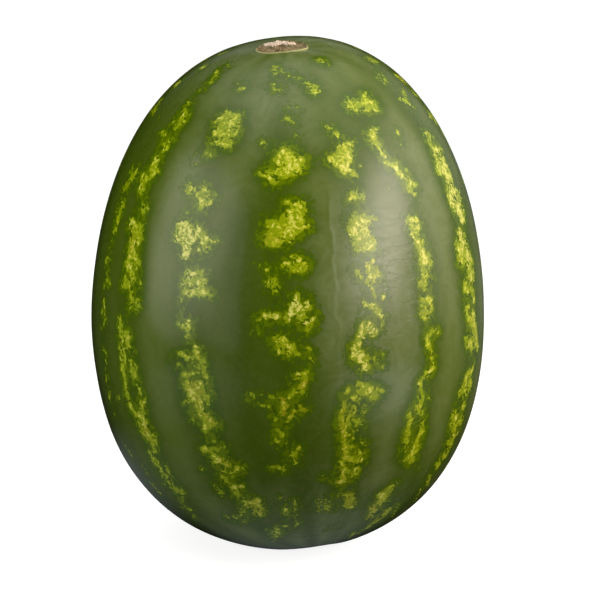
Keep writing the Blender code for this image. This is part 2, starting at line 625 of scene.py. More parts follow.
LEFT = (
    dash(18.5, -65, 18.7, -59, 1, .5), dash(22.3, -66, 23, -60, 1, .55),
    dash(24, -59, 26, -56.5, 1.1, .55), dash(26, -62, 29, -58, .9, .35), dot(29.5, -58, 1, .4),
    dash(33.5, -58, 34.2, -57, 1.3, .6), dash(36, -57, 37, -55, 1.3, .8),
    dash(37, -54, 36.5, -51.5, 1, .65), dash(38.7, -54, 38.8, -52, 1.3, .8),
    dot(39.5, -57.5, 1.2, .65), dot(40.8, -54, 1.4, .75), dash(43.3, -60.5, 43.8, -57.5, 1.1, .75),
    dash(44.3, -53, 44, -51, 1, .6), dash(45.5, -55, 46, -51.5, 1, .65), dot(46.8, -53.5, 1.2, .8),
    dash(49.3, -56, 49.5, -53, 1.1, .7), dash(50.5, -54.5, 52.5, -52, 1.8, .9),
    dot(52.5, -54.5, 1.2, .7), dash(54.3, -58, 54.5, -54, 1, .8),
    dash(55.5, -57, 57.5, -55.5, 1.6, .85), dot(57.5, -54, .9, .6),
    dash(60.5, -52, 61.8, -51.5, 1.2, .75), dot(61.3, -49.5, 1.2, .75), dot(62.3, -50.5, 1, .65),
    dash(65.3, -55.5, 66, -53, 2, .9), dash(66, -50.5, 68.5, -49, 2, .85),
    dash(67.5, -53, 71, -52, 2.2, 1, .3), dot(69.5, -49.5, 1.4, .8),
    dash(72, -52.5, 75, -53, 2, .95), dash(72.5, -50.5, 74.5, -48.5, 2, .85),
    dash(75.5, -51.5, 77, -50.5, 1.6, .9), dash(78.8, -53.5, 80, -51.5, 1.5, .8),
    dash(80.5, -54.5, 80, -51, 1, .75), dash(78.5, -48.5, 79, -50, 1, .7),
    dot(79, -45.7, 1, .75), dash(82, -49.5, 84, -48.5, 1.6, .85),
    dash(83.5, -47, 85, -46.5, 1.3, .8), dot(85.2, -50, 1.1, .7),
    dash(88.5, -55, 89.5, -54, 1.6, .7), dash(90.5, -54.5, 93, -54.5, 1.6, .75),
    dash(91.5, -52.5, 92, -50, 1.2, .8), dash(92.5, -51.5, 94.5, -51, 1.5, .85, .3),
    dash(95, -55, 100, -55, 1.7, .65), dash(96.5, -53, 98.5, -53.5, 1.6, .6),
    dot(96, -49.5, 1, .5), dash(98.5, -51, 100.5, -50.5, 1.3, .75),
    dash(101, -51, 102.2, -50, 1.5, .75), dot(100, -49, 1.6, .5),
    dash(101, -55, 106, -55.5, 1.2, .65), dash(106, -55.5, 110, -55.3, 1.1, .7),
    dash(110, -55.3, 112, -53.5, 1, .7), dash(104.5, -49.5, 107, -48.5, 1.2, .55),
    dash(109, -49, 108.5, -47.5, 1, .75), dash(109.5, -49.5, 113, -51, 1.5, .65, .2),
    dash(112, -52.5, 114, -51, 1.3, .75), dash(114, -54, 116, -53.5, 1.5, .65),
    dash(114.5, -51, 117, -51.5, 1.9, .9, .5), dash(117.5, -51, 120, -50.5, 1.7, .8, .3),
    dot(118, -49, 1.5, .6), dash(122, -54.5, 123, -54, 1.5, .55), dot(122, -51.5, 1.2, .5),
    dash(124, -56.5, 125, -56, 1, .4), dash(125, -54, 129, -54, 2.2, .6),
    dash(126, -51, 128.5, -50.5, 1.4, .55), dash(130, -54, 134, -54, 1.8, .5),
    dot(132, -57.3, 1.3, .55), dash(133.5, -53, 134, -51, 1.6, .5),
    dash(134.5, -50.5, 137.5, -56, 1, .55), dash(139, -60, 138.5, -58, .9, .45),
    dot(140.5, -57, 1.2, .45), dash(141, -57, 145, -62, 2, .28),
)

MID_LEFT = (
    dash(25, -29, 25.3, -27.5, 1.4, .55), dash(24, -34, 26, -30, 1.6, .3), dot(33.3, -21.5, 1, .35),
    dash(34.5, -29.5, 35, -23.5, 2.2, .9), dash(36.5, -30, 37.5, -24, 3.2, 1),
    dash(40, -29, 40.5, -23.5, 3, 1), dash(42.8, -29, 43, -22.5, 1.9, .95), dot(39, -20.5, .9, .6),
    dot(45.5, -31, .9, .65), dot(46, -28.8, 1, .75), dot(46.5, -36, 1.2, .45), dot(48, -34, 3, .25),
    dash(54.5, -34.5, 56, -33, 1.6, .5), dot(55, -33, 4, .3), dash(55, -27, 59, -27, 2.2, .95),
    dash(56, -29, 57, -28, 1.8, .85), dash(57.5, -25, 58.3, -24, 1.5, .85), dot(56, -23, 1.2, .4),
    dot(60, -29.5, 1.2, .5), dot(61.3, -31.8, 1, .5), dash(64.5, -33.5, 65.5, -28, 2.6, 1),
    dash(67, -32.5, 67.5, -28.5, 3.2, 1), dash(69.5, -30, 71.5, -30, 2.2, .95),
    dash(66, -26, 67.5, -24, 1.8, .85), dash(68, -24, 70, -23.5, 1.9, .9),
    dash(68.2, -22, 68, -20, .9, .65), dot(70, -25.5, 1.4, .7), dash(76, -30, 76, -24, 1.4, .75),
    dash(78.3, -28.5, 78.5, -23.5, 2.4, 1), dash(81, -28.5, 81.3, -22.5, 2, 1),
    dot(82, -21.3, 1.2, .85), dot(83, -30.5, 1.3, .75), dot(79.5, -30.5, 1.3, .6),
    dot(86.7, -31.5, 1, .55), dash(89.3, -31, 90, -29.5, 1.1, .8),
    dash(88.5, -28, 92.5, -28.5, 1.3, .9), dot(89.5, -26, .9, .45),
    dash(95.5, -26, 96.5, -26, 1.7, .9), dash(97, -31, 98, -29.5, 1.5, .8), dot(98.8, -34.5, .9, .55),
    dash(98.5, -32.5, 100, -32, 1, .55), dash(98, -28, 98, -25.5, 1.2, .75),
    dash(100, -27.5, 101, -26, 1.2, .75), dash(99, -24.5, 103.5, -24.5, 1.3, .75),
    dash(102.3, -31, 102.5, -30, 1.3, .8), dash(102.2, -28.5, 102, -26.5, 1.2, .75),
    dash(105, -30.5, 108, -30, 1.8, .95), dash(105.5, -28.5, 108.5, -27.5, 3, 1, .5),
    dash(105, -26, 108, -26, 1.2, .8), dash(109.5, -32.5, 109.3, -30, 1.2, .85),
    dot(107.3, -23.7, .8, .75), dot(105.2, -24.2, .8, .7), dash(109, -24.5, 111, -25, 1.3, .85),
    dash(111, -28.5, 113.5, -27.5, 2.2, .95, .3), dot(112.8, -30.8, .9, .7),
    dot(114.5, -30.8, 1.5, .75), dash(114.5, -27, 116, -26, 2.2, 1, .4),
    dot(116.5, -24.5, 1.1, .9), dash(117, -28, 118, -28.5, 1.4, .85), dot(117, -26, 1.8, .85),
    dot(121.5, -26.5, 1, .6), dash(123, -31.5, 123.5, -28, 1.7, .85), dot(124, -26, 1.2, .85),
    dot(123.5, -23.8, 1.4, .75), dash(126, -28.5, 127, -28.5, 1.8, .9),
    dash(127, -26.5, 128.3, -25.5, 1.8, .85, .4), dash(129, -24, 129.5, -23, 1.1, .6),
    dash(130.3, -28, 130.3, -26.5, 1, .6), dash(130, -21.5, 131.5, -24.5, 1.3, .9),
    dot(130.5, -20, .8, .7), dot(132.8, -25, 1, .7), dot(131.7, -29, 1.1, .5),
    dash(132.5, -28, 134.5, -28, 1.2, .7), dash(135.8, -27, 136, -24, 1.7, .9, .5),
    dot(128.7, -35.5, 1.1, .6), dot(134, -34, 1, .5), dash(136, -33.5, 137, -33, 2.2, .65),
    dash(138, -26.5, 141, -26, 1.6, .6), dash(141.3, -25.5, 141.5, -24.5, 1.2, .85),
    dash(141, -20, 144, -20.5, 1.6, .75, .6), dash(142.5, -23, 146, -22.5, 2.8, .8, .6),
    dot(147, -23, 1.3, .8), dot(142.5, -27, 1.5, .5), dash(144, -29, 146, -33, 1.4, .55),
    dot(147.5, -30, .9, .5), dash(145.5, -40, 146.5, -36, 1.6, .45), dot(149, -33.5, 1, .45),
    dot(148.5, -40, 1.2, .35), dash(154, -19.5, 157, -22.5, 1.1, .75),
    dash(157, -22.5, 161, -31, 1.2, .45), dash(156, -23, 158, -26, 1.5, .45),
    dot(154, -26, 1, .4), dash(161, -31, 164, -38, 1.2, .28),
)

FRONT = (
    dash(17.5, -9, 19, -8, 1.5, .45), dash(15, -11, 16, -9, 1.3, .4), dash(17, -3, 19, 3, 2, .35),
    dash(20.5, 5, 21, 7, 1.2, .5), dash(21, 8, 22, 13, 1.2, .28), dash(23.5, -8, 24.5, -6, 1.5, .7),
    dash(25.5, -5, 26, -1, 1.1, .55), dash(32, 2, 33, 8, 2.5, .3), dash(35.3, 2.2, 37, 5, .9, .7),
    dot(41, 6, 1, .45), dash(42.3, -8, 42.8, -5.5, 1.3, .6), dash(47.5, 2, 48.5, 3, 4.3, 1),
    dash(45.3, 1, 47, 2, 2.4, .95), dash(49.8, 5.5, 47.8, 7, 1.7, .85), dash(50.3, 6, 51.3, 2, 2.6, .95),
    dash(51, -1, 51.7, -4, 2.8, .95), dash(50.5, -5, 53, -3, 1.9, .8), dash(50.5, -8, 52, -6, 1.1, .6),
    dash(47, -2, 48.5, 0, 1.5, .6), dash(59, 1.5, 60.5, 4, 1.3, .8), dash(60.5, 6, 63, 5, 2.8, .85),
    dash(63, 2, 65, 4, 3.3, 1), dash(63.2, -5, 64.5, -3, 1.3, .75), dash(64.5, -3, 65, 0, 2.8, .95),
    dash(66, -2, 67.5, 2, 3.3, 1), dash(66, 4, 66, 7.2, 1.6, .95), dash(68.5, -4.3, 69, -2, 2.6, 1, .4),
    dot(67, -6, .8, .5), dot(74.8, -6.5, 1.2, .6), dot(76.2, -5, 1, .8),
    dash(73.3, 2, 74.5, 4.5, 1.2, .8), dash(75.2, 0, 75.5, 6, 1.4, .8), dash(76, 2.5, 77, 3.8, 2.6, 1),
    dash(75.7, 6, 77.2, 6, 1, .9), dash(79.5, -4, 81.5, -3, 2.4, .8), dash(84, 3, 86, 3, 1.5, .9),
    dash(86.7, 2, 89, 4, 2.7, 1), dash(86, 5.5, 88, 6.5, 1.2, .9), dot(84.5, 7, 1, .5),
    dash(88.5, 1, 90, 0, 1.7, .95), dash(88.3, -5.5, 89.2, -2.5, 1.8, .95),
    dash(89.5, -8, 89.5, -7, .8, .6), dash(90, 4, 92, 5.5, 2.3, 1), dot(90.8, 7.5, 1, .9),
    dot(93.8, 5.5, 1.2, .8), dot(93.5, 7, .8, .5), dot(93.3, -8.3, .8, .7), dot(91.2, -7, .8, .5),
    dash(95, -3.5, 95.3, -1, 1.5, .75), dash(97, -2, 98, .5, 2.2, .85),
    dash(98.8, -2.8, 99.5, 0, 1.5, .8), dash(99.5, 1, 100.2, 2.5, 1.3, .85),
    dash(98.8, 5.3, 100, 6, .9, .65), dash(101.5, 5.5, 103, 6.7, .9, .65),
    dash(105.6, 1.5, 105.5, 4.3, 1.2, .75), dash(106.8, 1, 106.8, 4, 1, .65),
    dash(108, 3.8, 109.3, 2.5, 1.3, 1, .7), dash(110.3, .5, 111, 3, 1, .75),
    dash(110.3, .5, 112, -1.5, 1, .75), dash(112, -3, 114, -3, 1.5, .9, .7),
    dash(114, -2.5, 116, -3.5, 1.4, 1, .7), dot(117.5, -5.5, 1.5, .7),
    dash(113, -9, 114, -6.5, 1, .65), dash(109.5, -12, 110.3, -11, 1.1, .7),
    dot(111.5, -13.5, .8, .55), dash(110.2, -9, 111.5, -5, 1, .38), dash(115, 1.5, 116, 3, 1.3, .9, .7),
    dash(115.8, 0, 118.5, -2, 1.1, .85, .3), dot(119, -2.5, 1, .7), dot(120.5, -6, .9, .6),
    dash(121.5, -5, 122.5, -5, 1.1, .75), dash(123.5, -7, 124, -6.5, 1.2, .8), dot(125.2, -4.2, .9, .5),
    dash(126.7, .5, 128.5, -2, 1, .75), dash(128.5, -2, 131.5, -1.5, 1.3, .55), dot(129, -2.5, 1.2, .6),
    dash(131.5, -9.5, 132, -7, 1.1, .65), dash(132, -7, 133.5, -6.3, .9, .7), dot(137, 7.3, .9, .65),
    dash(142, -10, 143, -9.5, 1.6, .4), dash(146.5, -10, 149, -10.5, 1, .8),
    dash(143.5, -5, 149, -5.5, 1.1, .6), dash(150, -6, 155, -8, 1, .4),
    dash(153, -13, 154, -14, 1.2, .6), dot(156, -14, 1.2, .5),
)

MID_RIGHT = (
    dash(24.5, 18, 28, 21, 2.4, .5), dash(22, 18.5, 22, 20, 1.4, .3), dot(28, 19.2, 1.4, .8),
    dash(39.5, 19.5, 40.5, 22, 1, .7), dash(42, 23, 43.5, 23, 1.4, .65),
    dash(46, 24.5, 48.5, 21.5, 2.1, .95), dash(49, 18.3, 51.5, 21.5, 1.8, 1),
    dash(46, 27.5, 50.5, 24.5, 1.8, .95), dash(50, 22, 52.5, 22.5, 2.1, .9), dot(53, 21.3, 1.2, .8),
    dash(52.5, 23.5, 54.5, 26, 1.4, .85), dot(52.5, 28.5, .9, .6), dash(59, 23.5, 60.5, 26, 1.5, .8),
    dash(60.5, 22, 60.5, 24, 1.1, .8), dash(66, 22, 72, 22, 3, 1), dash(66, 25, 67, 28.5, 1.6, .85),
    dash(67, 25, 73, 25.5, 2.8, 1), dash(74, 22, 74.5, 26, 1.8, .85), dot(68, 20.5, 1.2, .6),
    dash(79.5, 20.5, 81.5, 21.5, 1.5, .85), dash(79, 25, 83, 24, 2.7, .95),
    dash(80, 27, 81.5, 27, 1.8, .8), dot(84, 27.5, 1, .5), dot(84, 24, 1.5, .7),
    dash(85.5, 24.5, 87.5, 25.5, 1.2, .8), dash(87, 28, 89, 27.5, 1, .6),
    dash(89, 21.8, 90, 24.5, 1.6, 1), dash(90, 25, 93, 26.5, 1.3, .85),
    dash(93.5, 27, 96, 26.8, 1.1, .6), dash(95, 22, 97, 24, 2.1, .95),
    dash(95, 21.5, 99, 19.5, 1.9, .95), dash(101, 17.8, 103, 18, 1.5, .9),
    dash(100, 19, 104, 20, 1.9, 1), dash(104, 21, 106, 22, 2.4, 1), dash(104.5, 24, 105.5, 25, 1.2, .75),
    dot(103.7, 26.8, .9, .6), dot(107.2, 27, 1, .5), dash(106.8, 19.5, 107, 22, 1, .8),
    dash(111, 20, 113, 22, 2.1, .95), dash(113, 19, 113, 22, 1.2, .8),
    dash(113, 23, 115.5, 24.5, 1.7, .95), dash(113, 25.5, 114, 27.2, .9, .85),
    dash(112, 16, 113, 15.3, 1.1, .85), dash(114.5, 17, 115, 18.5, 1.3, .65),
    dash(115.5, 15, 118, 14.5, 1.1, .95, .3), dash(118, 14.2, 120.5, 14, 1, .85, .3),
    dash(119, 16.5, 122, 15.5, 1.5, .7, .2), dash(122, 14.3, 125, 15, 1.2, .95, .5),
    dash(125, 15, 129, 15.3, .8, .9, .3), dash(128.7, 15.5, 128.7, 18, .8, .75),
    dash(129, 15.8, 132, 16, 1.1, .95, .3), dash(132.5, 16, 132.5, 19, .9, .8),
    dash(133.8, 14.5, 136, 16, 1.3, .75), dash(136, 15.3, 139.5, 15.3, 1.1, .85, .3),
    dash(139, 12, 140, 15, 1, .75, .6), dash(139.8, 15, 140, 17, .9, .8, .4),
    dash(118, 20.5, 119, 20.5, 1.3, .55), dash(121.3, 18.5, 122, 20.5, .9, .65),
    dot(126.5, 18.3, 1, .65), dot(128.5, 21.5, 1.2, .65), dash(130.8, 20, 131.2, 22, 1, .6),
    dash(133.5, 18, 133.5, 22, 1.1, .7), dash(136.5, 20.5, 136.5, 21.5, 1.1, .65),
    dot(138.3, 19.3, 1.2, .65), dash(117, 18, 137, 18.5, 5.5, .33), dash(144.5, 15.5, 145, 19, 1.2, .55),
    dash(145.5, 20, 149, 21.5, 2.7, .8, .3), dash(146, 7, 149, 9, 3.5, .45), dot(143.5, 14, 1.2, .4),
    dot(158.2, 18.8, 1.6, .45), dot(159, 14, 1.4, .35),
)

RIGHT = (
    dash(15.5, 44, 16.5, 40, 1.3, .65), dot(17, 43, 1, .6), dash(18.5, 44, 19, 42, 1.8, .35),
    dash(33.3, 37, 35, 37.5, 2.1, .7), dash(36.5, 36, 36.8, 37.5, 1.2, .8), dot(35.2, 40, 1, .8),
    dot(36, 42, 1, .85), dot(37.5, 38.5, .8, .7), dot(35, 34.5, .9, .6), dot(36, 40, 3.6, .35),
    dash(33, 49.5, 35, 46, 1.1, .9), dash(35.5, 45, 37.5, 44, 1.6, .85),
    dash(36, 47, 38, 48, 1.8, .85), dot(37, 50, 1.2, .7), dot(39, 48.5, 1.2, .85),
    dot(38.5, 46, 1.2, .6), dash(44, 39, 44.2, 40.5, 1.4, .85), dash(45, 38, 47.5, 38.5, 1.6, .9),
    dot(46.5, 37, 1.3, .55), dash(48, 38.8, 51, 39, 1.2, .9), dot(52, 39.2, 1, .8),
    dash(46.8, 50, 47, 52, 1.4, .5), dot(50.3, 49.2, 1, .5), dash(53.5, 39, 54.5, 41.5, 1.1, .9),
    dot(54.5, 43.5, .9, .7), dash(55, 42, 58, 43, 1.3, 1), dot(57, 46.3, 1, .8),
    dash(58.5, 44, 59.5, 46, 1.1, .9), dash(60.5, 44.5, 61.5, 44.5, 1.2, .75),
    dash(60.5, 46, 61.5, 47.5, 1.3, 1), dash(62.5, 45, 63.5, 46, 1.5, .85), dot(59.8, 36.5, 1.4, .38),
    dash(69.5, 41, 72.5, 42, 2.2, .95), dash(70, 44, 72, 43.5, 1.6, .85), dot(71, 46, 1.2, .38),
    dash(73.5, 41.5, 76.5, 43, 2.1, .95), dash(77, 43, 80, 43.5, 2, .95),
    dash(79.5, 45.5, 82, 46, 1.2, .75), dash(81, 42.5, 84, 43.5, 1.9, .95),
    dash(84.5, 42.5, 87.5, 42, 1.7, .9), dot(86.8, 40.5, 1.3, .75), dot(86.5, 46.5, .9, .45),
    dash(91, 41, 91, 43.5, 1.3, .85), dash(91.5, 44, 94.5, 44, 1.2, .9),
    dash(93, 42, 94.5, 42.5, 1.2, .85), dash(94.5, 40.5, 96, 41.5, 1.3, .85), dot(96.2, 43, .9, .75),
    dot(92.5, 40.5, .9, .65), dash(99.5, 46, 100, 44.5, .9, .85), dot(100.5, 46.7, .8, .8),
    dash(99.8, 44, 101, 42.5, 1, .8), dash(101.5, 42, 104, 43, 1.2, .95),
    dash(104.5, 44, 107, 44.5, .8, .75), dash(107, 44.5, 109.8, 45.5, .8, .65),
    dash(109.8, 45.5, 111, 44, 1, .8), dash(111, 43, 113, 41, 1.5, .75),
    dash(113.5, 40.7, 116, 42, 1.2, .8), dot(117.5, 40.5, .9, .7), dash(117.5, 42.5, 120, 42, 1.3, .85),
    dot(118, 45.5, .9, .4), dash(120, 41, 122, 42.5, 1.5, .9), dot(122, 44, .9, .5),
    dash(121.5, 38, 123, 38.5, 1.1, .85), dash(123.5, 39, 127, 39, 1.2, .9),
    dash(127, 39.5, 130, 39, 1.1, .8), dash(130, 39.5, 132.5, 40.5, 1.1, .65), dot(133.5, 39, 1, .4),
    dash(124.5, 44.5, 127.5, 46, 1.3, .8), dash(127.5, 45.5, 130, 44.5, 1.3, .75),
    dash(130.5, 44, 132.5, 45, 1.3, .95), dash(132, 46.5, 133.5, 44, 1.4, .75),
    dash(134.5, 43, 135.5, 42, 1.2, .7), dash(134.5, 45, 136, 46, 1.3, .8), dot(136.5, 48, 1, .5),
    dot(138.3, 53.5, 1.3, .55), dash(143, 43, 144, 40.5, 1.3, .65), dash(145, 41, 148, 41, 1.9, .75),
    dash(146, 37, 149, 39.5, 1.6, .8), dash(149, 39.5, 150, 41, 1.2, .8),
    dash(150.5, 37, 153, 40, 1.4, .85, .7), dash(153, 40, 156, 42, 1.3, .75, .9),
    dot(148, 43.5, 1.5, .45), dash(153.5, 54, 155, 54.5, 1.3, .5), dash(156, 51, 160, 52, 3, .3),
)

FAR_RIGHT = (
    dash(31, 73, 31.5, 76, 1, .5), dash(32.5, 70, 33.5, 73, 2.2, .5), dash(40, 75, 39.5, 77, .9, .75),
    dash(40.5, 69, 41.5, 72, 1.6, .65), dash(43, 72.5, 44.5, 73, 1.1, .5),
    dash(51.5, 67, 52, 69, 1.6, .7), dot(53, 72, 1.2, .65), dot(54, 66.5, 1.5, .8),
    dash(56, 67, 56.5, 71, 1.7, .9), dot(57, 74, .9, .6), dash(57.5, 65, 59, 65, 1.6, .9),
    dash(59, 68, 59, 71, 1.4, .9), dash(60.8, 63, 61, 70, 1.9, 1), dash(63, 68, 64, 70, 1.9, 1),
    dash(64, 66, 66, 65.5, 1.3, .9), dot(66, 63.5, .9, .7), dash(68, 64, 70, 64, 2, .95),
    dash(67.5, 68, 69, 70, 2.6, 1), dot(69, 73, 1.3, .65), dash(71.5, 67, 73.5, 69, 2.4, 1),
    dot(73, 72, 1.2, .7), dash(74.5, 67, 75, 69.5, 1.4, .95), dot(71, 65, 1.4, .7),
    dash(77.5, 63.5, 79, 64, 1.8, 1), dash(78.5, 66.5, 80, 67, 1.5, .85),
    dash(80.5, 61, 83, 61.5, 2.4, 1), dash(82, 64, 83.5, 67, 2.6, 1), dot(84.5, 62, 1.4, .95),
    dash(85, 67, 89, 67.5, 2.8, 1), dot(85.5, 70, 1.8, .85), dot(83.5, 59.5, 1.2, .6),
    dash(89.5, 63, 90.5, 61.5, 1.4, .9), dash(91.3, 62, 92, 66, 1.5, .95),
    dash(92.5, 67, 94.5, 68, 1.6, .85), dash(96, 61.5, 96, 64, 1, .8), dash(97, 62, 99, 63, 1.3, 1),
    dash(99, 63.5, 100.5, 65.5, 1.4, .95), dash(98, 67, 99, 68, 1.4, .95),
    dash(100.5, 67, 102, 69.5, 1.9, 1), dash(103.5, 68.5, 104.5, 71, 2, 1),
    dash(104.5, 62, 106, 64.5, 1.7, .85), dash(106, 66, 107, 68, 1.6, .9),
    dash(106, 70, 107.3, 73.5, 1.6, .9), dash(112.5, 70, 111.5, 71, 1, .85),
    dash(113, 66.5, 113.5, 69, 1.6, .85), dash(114.5, 64.5, 115.5, 66, 1.2, .8),
    dash(115.5, 69, 117, 71, 1.6, 1), dash(117, 64, 118.5, 68, 2.3, .7), dot(119, 62, 1.4, .6),
    dash(121.5, 68, 122, 69.5, 1.2, .75), dash(124, 62, 125, 66, 2, .75),
    dash(126, 64, 127, 66, 2.1, .75), dash(125.5, 69.5, 126, 72, 1.8, .9),
    dash(127.5, 67.5, 130, 70, 1.3, 1, .3), dot(129, 73, 1.1, .85), dash(131, 66, 132, 70, 1.8, .7),
    dot(133.5, 72, 1.7, .65, .3), dash(135.5, 68, 135.5, 70.5, 1.5, .95),
    dash(137.5, 67, 138.5, 69, 1.5, .75),
    dash(141.5, 66, 144.5, 73, 1, .65), dash(145.5, 67, 149.5, 76, .8, .75),
    dash(152.5, 52, 157, 54.5, 1.4, .7), dash(157.5, 53, 165, 50, 1.2, .6),
    dash(151, 57, 156, 68, .5, .7), dash(163, 42, 168, 52, .6, .6),
)


VISIBLE_STRIPES = (
    (FAR_LEFT, 1.45), (LEFT, 1.35), (MID_LEFT, 1.08), (FRONT, 1.08), (MID_RIGHT, 1.14),
    (RIGHT, 1.27), (FAR_RIGHT, 1.5),
)


def visible_strokes() -> list[Stroke]:
    """Marks of the stripes in view, each stripe widened by its own factor."""
    return [
        replace(stroke, half_width_mm=stroke.half_width_mm * wider)
        for stripe, wider in VISIBLE_STRIPES for stroke in stripe
    ]


@dataclass(frozen=True)
class HiddenStripes:
    """Rule for the stripes on the far side, drawn in the same broken way as the others.

    Pairs are the least and greatest value of a draw; a spread is the deviation of a normal draw.
    """

    longitudes: tuple[float, ...] = (91, 113, 134, 158, 181, 204, 228, 250, 272)
    seed: int = 41
    first_polar: float = 16.0
    first_polar_delay: Range = (0.0, 14.0)
    last_polar: float = 160.0
    boldness: Range = (0.75, 1.15)
    near_gap: Range = (4.5, 9.5)
    wide_gap: Range = (9.0, 13.0)
    near_gap_share: float = 0.7
    strokes_per_patch: tuple[int, int] = (3, 7)
    size_at_ends: float = 0.35
    strength: Range = (0.62, 1.0)
    strength_at_ends: float = 0.55
    stroke_strength: Range = (0.75, 1.05)
    tan_share: float = 0.25
    tan_amount: float = 0.5
    patch_spread: float = 2.0
    rise_spread: float = 1.5
    drift_spread: float = 3.0
    slant_spread: float = 1.6
    stroke_reach: Range = (0.5, 2.4)
    half_width_mm: Range = (1.0, 2.9)

    def strokes(self) -> list[Stroke]:
        """Draw every hidden stripe, patch by patch, from the stem end to the blossom end."""
        rng = np.random.default_rng(self.seed)
        made = []
        for centre in self.longitudes:
            boldness = rng.uniform(*self.boldness)
            polar = self.first_polar + rng.uniform(*self.first_polar_delay)
            while polar < self.last_polar:
                made += self.patch(rng, polar, centre, boldness)
                near = rng.random() < self.near_gap_share
                polar += rng.uniform(*(self.near_gap if near else self.wide_gap))
        return made

    def patch(self, rng: np.random.Generator, polar: float, centre: float,
              boldness: float) -> list[Stroke]:
        """One ragged patch of a stripe.

        Args:
            rng: the seeded draw.
            polar: angle from the stem end.
            centre: longitude of the stripe.
            boldness: how wide and bright this stripe is.

        Returns:
            The patch's strokes.
        """
        middle = math.sin(math.radians(polar))
        size = boldness * (self.size_at_ends + (1.0 - self.size_at_ends) * middle)
        longitude = centre + rng.normal(0.0, self.patch_spread)
        fullest = self.strength_at_ends + (1.0 - self.strength_at_ends) * middle
        strength = min(1.0, boldness * rng.uniform(*self.strength) * fullest)
        tan = self.tan_amount * float(rng.random() < self.tan_share)
        made = []
        for _ in range(int(rng.integers(*self.strokes_per_patch))):
            rise, drift = rng.normal(0.0, self.rise_spread * size), rng.normal(0.0, self.drift_spread * size)
            reach, slant = rng.uniform(*self.stroke_reach) * size, rng.normal(0.0, self.slant_spread)
            made.append(dash(polar + rise, longitude + drift, polar + rise + reach,
                             longitude + drift + slant, rng.uniform(*self.half_width_mm) * size,
                             strength * rng.uniform(*self.stroke_strength), tan))
        return made


@dataclass(frozen=True)
class Patch:
    """Soft oval place on the skin, in degrees, where a painted value rises or falls."""

    longitude: float
    polar: float
    wide: float
    tall: float
    amount: float = 1.0


@dataclass(frozen=True)
class Lane:
    """Upright soft band of the skin, in degrees, that opens and closes over two pairs of heights."""

    longitude: float
    wide: float
    amount: float
    opens: Range = (-2.0, -1.0)
    closes: Range = (181.0, 182.0)


